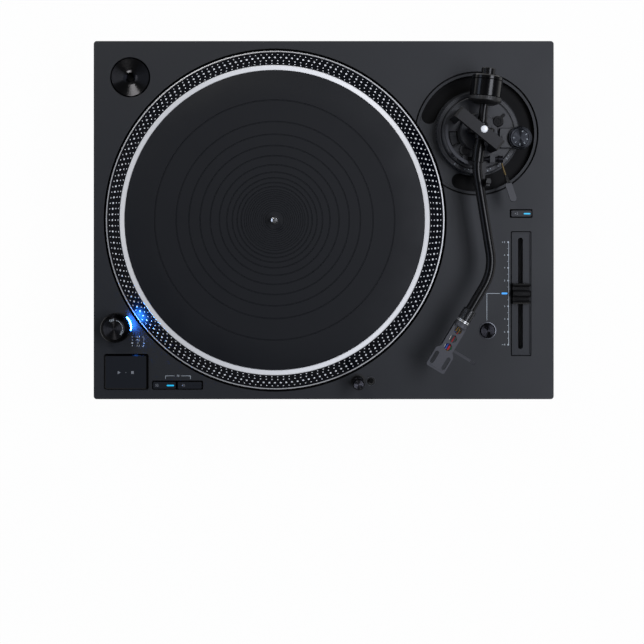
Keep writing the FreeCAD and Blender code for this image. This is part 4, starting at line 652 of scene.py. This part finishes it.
def deck_print():
    """Scale, bracket and legend printed on the deck."""
    high, low = PITCH[1] + PITCH_REACH, PITCH[1] - PITCH_REACH
    fork, figures = RESET[0] - 0.7, PITCH_LINE_X - 4.0
    signs = PITCH_LINE_X - 6.0
    lines = [((PITCH_LINE_X, high), (PITCH_LINE_X, low), 0.35)]
    marks = []
    for n in range(-8, 9):
        y = PITCH[1] - n * PITCH_REACH / 8
        if n % 2 == 0 and n:
            marks.append(spot(PITCH_LINE_X - 0.4, y, 0.85, DECK_Z))
            marks.append(lettering(str(abs(n)), figures, y, DECK_Z, 1.7))
        elif n:
            lines.append(((PITCH_LINE_X - 1.4, y), (PITCH_LINE_X, y), 0.3))
    lines += [((signs - 0.6, high), (signs + 0.6, high), 0.3),
              ((signs, high - 0.6), (signs, high + 0.6), 0.3), ((signs - 0.6, low), (signs + 0.6, low), 0.3),
              ((fork, PITCH[1]), (173.0, PITCH[1]), 0.4), ((fork, PITCH[1]), (fork, -98.6), 0.4)]
    left, right, top, foot = -155.3, -130.8, -152.9, -156.0
    lines += [((left, foot), (left, top), 0.35), ((left, top), (-146.4, top), 0.35),
              ((-139.6, top), (right, top), 0.35), ((right, top), (right, foot), 0.35)]
    marks.append(lettering("78", -143.0, top, DECK_Z, 1.9))
    for y, size, figure in ((-114.7, 0.45, "+6.4"), (-117.7, 0.45, "+3.3"), (-120.6, 0.95, "0"),
                            (-123.4, 0.45, "-3.3")):
        marks.append(spot(-187.9, y, size, DECK_Z))
        marks.append(lettering(figure, -182.4, y, DECK_Z, 1.7))
    edge = -176.6
    lines += [((edge, -114.7), (edge, -119.0), 0.3), ((edge, -122.4), (edge, -124.0), 0.3),
              ((edge - 1.8, -114.7), (edge, -114.7), 0.3), ((edge - 1.8, -124.0), (edge, -124.0), 0.3)]
    marks.append(lettering("%", edge, -120.7, DECK_Z, 1.7))
    marks += [stroke(a, b, width, DECK_Z) for a, b, width in lines]
    piece("deck_scale_print", joined(marks), print_ink, "chassis")


def button_prints():
    """The figures on the buttons, and the triangle and square of the start and stop button."""
    for name, text, x, y, rise, body in (
            ("figure_33", "33", -163.6, PRESS_ROW_Y, 1.5, "speed_button_33"),
            ("figure_45", "45", -137.7, PRESS_ROW_Y, 1.5, "speed_button_45"),
            ("figure_x2", "×2", 188.9, 6.35, 1.6, "x2_button")):
        piece(name, lettering(text, x, y, DECK_Z + rise, 2.5), faint_ink, body)
    top = DECK_Z + 2.8
    x, y = START_STOP
    low, high = top + PRINT_LIFT, top + PRINT_LIFT + PRINT_DEPTH
    triangle = [(x - 8.0, y - 1.5), (x - 5.0, y), (x - 8.0, y + 1.5)]
    square = [(x + 5.2, y - 1.3), (x + 7.8, y - 1.3), (x + 7.8, y + 1.3), (x + 5.2, y + 1.3)]
    marks = [slab(triangle, low, high), spot(x, y, 0.35, top), slab(square, low, high)]
    piece("start_stop_print", joined(marks), faint_ink, "start_stop_button")


def knob_print():
    """OFF and ON at the two ends of a dotted arc on the knob's top."""
    marks = [spot(*around(KNOB, 8.4, math.radians(70 - 10 * n)), 0.42, KNOB_TOP, 8) for n in range(9)]
    for text, deg in (("OFF", 104.0), ("ON", -26.0)):
        x, y = around(KNOB, 8.2, math.radians(deg))
        marks.append(lettering(text, x, y, KNOB_TOP, 2.1, deg - 90.0))
    piece("knob_print", joined(marks), print_ink, "power_knob")


def arm_prints():
    """Figures and strokes on the arm's rings and dials."""
    marks = []
    for n in range(6):
        deg = -130.0 + 17.0 * n
        marks.append(lettering(str(n), *round_arm(37.9, deg + 3.5), RING_TOP, 1.6, deg + 93.5))
        marks.append(stroke(round_arm(36.4, deg + 8.5), round_arm(37.4, deg + 8.5), 0.25, RING_TOP))
    piece("height_scale_print", joined(marks), print_ink, "height_ring")
    marks = []
    for n in range(7):
        deg = 180.0 + 42.0 * n
        marks.append(lettering(str(n), *around(SKATE, 6.3, math.radians(deg)), DIAL_TOP, 1.9, deg - 90.0))
    for n in range(43):
        turn = math.radians(180.0 + 6.0 * n)
        inner = 8.8 if n % 7 else 8.2
        marks.append(stroke(around(SKATE, inner, turn), around(SKATE, 9.4, turn), 0.25, DIAL_TOP))
    piece("anti_skate_figures", joined(marks), print_ink, "anti_skate_dial")


# Buttons, dials and screws


def reset_ring():
    """The bright turned ring pressed into the deck round the small round button."""
    low, high = DECK_Z - 0.1, DECK_Z + 0.35
    outline = [(7.45, low), (8.4, low), (8.4, high - 0.1), (8.2, high), (7.6, high), (7.45, high - 0.2)]
    piece("reset_ring", lathe(outline, RESET, 64), ring_metal, "chassis")


def reset_cap():
    """The round button: a flat turned face with a fine rounded edge, on its stem."""
    top, radius, stem, foot = DECK_Z + 2.6, 7.2, 2.0, DECK_Z - 6
    outline = [(0.01, DECK_Z - 14), (stem, DECK_Z - 14), (stem, foot), (radius, foot), (radius, top - 0.7),
               (radius - 0.2, top - 0.25), (radius - 0.6, top), (radius - 0.9, top), (0.01, top)]
    piece("reset_cap", lathe(outline, RESET, 72), reset_turned, "reset_button",
          ("reset_button",))


def dial_skirt():
    """The milled skirt round the dial: 60 fine teeth."""
    steps, bore = 120, 10.25
    low, high = DECK_Z + 16.6, DECK_Z + 19.6
    points = []
    for n in range(steps):
        outer = 11.5 if n % 2 else 11.2
        for radius, height in ((bore, low), (outer, low), (outer, high - 0.4), (11.0, high), (bore, high)):
            points.append(around(SKATE, radius, FULL_TURN * n / steps) + (height,))
    piece("dial_skirt", (points, ring_faces(steps, 5)), dial_turned, "anti_skate_dial")


def release_ring():
    """The fine bright ring set into the small release button."""
    low, high = DECK_Z + 0.5, DECK_Z + 0.75
    outline = [(4.2, low), (4.8, low), (4.8, high - 0.1), (4.7, high), (4.3, high), (4.2, high - 0.1)]
    piece("release_ring", lathe(outline, RELEASE, 48), ring_metal, "chassis")


def adjusting_screw():
    """A bright slotted screw in a dark countersunk ring on the arm base."""
    x, y, top = 136.9, 67.7, ARM_BASE_TOP
    outline = [(2.9, top), (4.9, top), (4.9, top + 0.5), (4.4, top + 0.8), (3.3, top + 0.8),
               (2.9, top + 0.4)]
    piece("screw_ring", lathe(outline, (x, y), 40), arm_lacquer, "arm_base")
    head = []
    for side in (-1, 1):
        corners = [(x + side * 0.45, y - 2.4), (x + side * 0.45, y + 2.4)]
        for n in range(9):
            turn = math.radians(80 - 20 * n)
            corners.append((x + side * (0.1 + 2.5 * math.cos(turn)), y + 2.5 * math.sin(turn)))
        head.append(slab(corners if side < 0 else corners[::-1], top, top + 0.7))
    piece("screw_head", joined(head), ring_metal, "arm_base")


def plate_window():
    """The framed window in the arm base through which the ring's scale is read."""
    low, high, steps = ARM_BASE_TOP, ARM_BASE_TOP + 0.5, 12
    edges = []
    for inner, outer, start, end in ((20.2, 21.2, 176.0, 212.0), (27.6, 28.6, 178.0, 208.0)):
        for n in range(steps):
            a, b = start + (end - start) * n / steps, start + (end - start) * (n + 1) / steps
            corners = [round_arm(inner, a), round_arm(outer, a), round_arm(outer, b), round_arm(inner, b)]
            edges.append(slab(corners, low, high))
    for deg in (178.0, 208.0):
        edges.append(slab(bar_corners(round_arm(20.5, deg), round_arm(28.2, deg), 1.0), low, high))
    piece("window_frame", joined(edges), arm_lacquer, "arm_base")


# Arm


def lead_curve(rear, middle, front, sag):
    """The points of one lead in the headshell's channel, from its rear pin to its front clip."""
    points = []
    for n in range(17):
        share = n / 16
        bend = 4 * share * (1 - share)
        side = rear + (front - rear) * share + (middle - (rear + front) / 2) * bend
        points.append(along_shell(9.3 + 16.4 * share, side, -1.6 - sag * bend))
    return points


def cartridge_wiring():
    """Four coloured leads with their soft sleeves over the front clips."""
    leads = (("white", "#c4c4bf", -3.6, -2.5, 0.6), ("blue", "#26429a", -1.2, -4.4, 2.2),
             ("red", "#b0141f", 1.2, 0.8, 0.5), ("green", "#1c6a45", 3.6, 4.2, 1.6))
    for index, (colour, code, side, middle, sag) in enumerate(leads):
        path = lead_curve(side, middle, side, sag)
        shapes = [rod(path[n], path[n + 1], 0.5, 10) for n in range(len(path) - 1)]
        shapes.append(rod(along_shell(22.6, side, -1.7), along_shell(28.4, side, -1.6), 0.95, 12))
        piece("lead_" + colour, joined(shapes), sleeve_finish("pvc_lead_" + colour, code), "headshell",
              ("cartridge_leads",) if index == 0 else ())


# Feet


def knurled_foot(corner, x, y):
    """A foot with a square-cut grip: 118 ribs round it and 13 rows up its drum, under a smooth neck."""
    steps, rows, cut = 236, 27, 0.55
    radius, low, high, stud = 27.2, 3.2, 23.5, 5.0
    outline = [(0.0, 0.0), (19.0, 0.0), (22.0, 0.5), (23.5, 1.2), (26.2, 2.0), (27.0, 2.6)]
    neck = [(26.4, high), (21.6, high), (21.5, 26.6), (stud, 26.6), (stud, 42.0), (0.0, 42.0)]
    profile = [(r, z, False) for r, z in outline]
    profile += [(radius, low + (high - 0.6 - low) * n / (rows - 1), True) for n in range(rows)]
    profile += [(r, z, False) for r, z in neck]
    points = []
    for n in range(steps):
        for m, (r, z, gripped) in enumerate(profile):
            if gripped and (n % 2 or (m - len(outline)) % 2):
                r -= cut
            points.append(around((x, y), r, FULL_TURN * n / steps) + (z,))
    piece("knurled_foot_" + corner, (points, ring_faces(steps, len(profile), False)), foot_rubber,
          "foot_" + corner, ("foot_" + corner,), 25.0)


# Light, floor and camera


def studio():
    """Pale walls, a dim ceiling, three soft boxes and a pale floor that keeps the shadow."""
    world = bpy.data.worlds.new("studio")
    bpy.context.scene.world = world
    world.use_nodes = True
    tree = world.node_tree
    tree.nodes.clear()
    way = add(tree, "TexCoord").outputs["Generated"]
    rise = add(tree, "SeparateXYZ", None, {0: way}).outputs["Z"]
    glow = add(tree, "MapRange", {"interpolation_type": "SMOOTHSTEP"}, {
        "Value": rise, "From Min": 0.1, "From Max": 0.6, "To Min": 0.3, "To Max": 0.08})
    seen = add(tree, "LightPath").outputs["Is Camera Ray"]
    strength = add(tree, "Math", {"operation": "MAXIMUM"}, {0: glow.outputs[0], 1: seen})
    sky = add(tree, "Background", None, {"Color": srgb("#f4f6fa"), "Strength": strength.outputs[0]})
    tree.links.new(sky.outputs[0], add(tree, "OutputWorld").inputs["Surface"])

    for name, place, size, power, tint in (("key_box", (0.88, 0.1, 1.5), (1.5, 0.6), 20.0, "#f2f5ff"),
                                           ("back_box", (-0.6, 0.95, 1.3), (0.35, 0.5), 7.0, "#fbf8f4"),
                                           ("left_box", (-1.3, 0.0, 0.95), (1.6, 0.5), 4.0, "#d6e4ff")):
        data = bpy.data.lights.new(name, "AREA")
        data.shape = "RECTANGLE"
        data.size, data.size_y = size
        data.energy = power
        data.color = srgb(tint)[:3]
        lamp = bpy.data.objects.new(name, data)
        lamp.location = place
        lamp.rotation_euler = (Vector((0, 0, 0.09)) - Vector(place)).to_track_quat("-Z", "Y").to_euler()
        bpy.context.scene.collection.objects.link(lamp)

    material, tree, out = finish_tree("pale_studio_floor")
    path = add(tree, "LightPath")
    seen = add(tree, "Math", {"operation": "MAXIMUM"},
               {0: path.outputs["Is Camera Ray"], 1: path.outputs["Is Glossy Ray"]})
    shown = add(tree, "Math", {"operation": "MAXIMUM"},
                {0: seen.outputs[0], 1: path.outputs["Is Transmission Ray"]})
    share = add(tree, "Math", {"operation": "MULTIPLY"}, {0: shown.outputs[0], 1: 0.975})
    paper = add(tree, "BsdfDiffuse", None, {"Color": srgb("#e6e7e9")})
    white = add(tree, "Emission", None, {"Color": (1, 1, 1, 1), "Strength": 1.0})
    mixed = add(tree, "MixShader", None, {0: share.outputs[0], 1: paper.outputs[0], 2: white.outputs[0]})
    tree.links.new(mixed.outputs[0], out.inputs["Surface"])
    mesh = bpy.data.meshes.new("studio_floor")
    reach = 12.0
    corners = [(-reach, -reach, 0), (reach, -reach, 0), (reach, reach, 0), (-reach, reach, 0)]
    mesh.from_pydata(corners, [], [(0, 1, 2, 3)])
    mesh.materials.append(material)
    floor = bpy.data.objects.new("studio_floor", mesh)
    floor.location.z = -0.0002
    bpy.context.scene.collection.objects.link(floor)


def camera():
    """Straight above the plinth's middle, with the frame shifted so that the deck sits high in it."""
    rise, frame_px, plinth_px = 1.15, 644, (323.7, 220.1)
    deck_width = frame_px * 0.9818 * MM
    data = bpy.data.cameras.new("view")
    data.sensor_width = 36.0
    data.lens = data.sensor_width * rise / deck_width
    data.shift_x = -(plinth_px[0] - frame_px / 2) / frame_px
    data.shift_y = -(frame_px / 2 - plinth_px[1]) / frame_px
    view = bpy.data.objects.new("view", data)
    view.location = (0, 0, DECK_Z * MM + rise)
    bpy.context.scene.collection.objects.link(view)
    bpy.context.scene.camera = view
    bpy.context.scene.view_settings.view_transform = "Standard"


record_mat()
strobe_rows()
deck_print()
button_prints()
knob_print()
arm_prints()
reset_ring()
reset_cap()
dial_skirt()
release_ring()
adjusting_screw()
plate_window()
cartridge_wiring()
for corner, across, along in CORNERS:
    knurled_foot(corner, across * FOOT[0], along * FOOT[1])
studio()
camera()
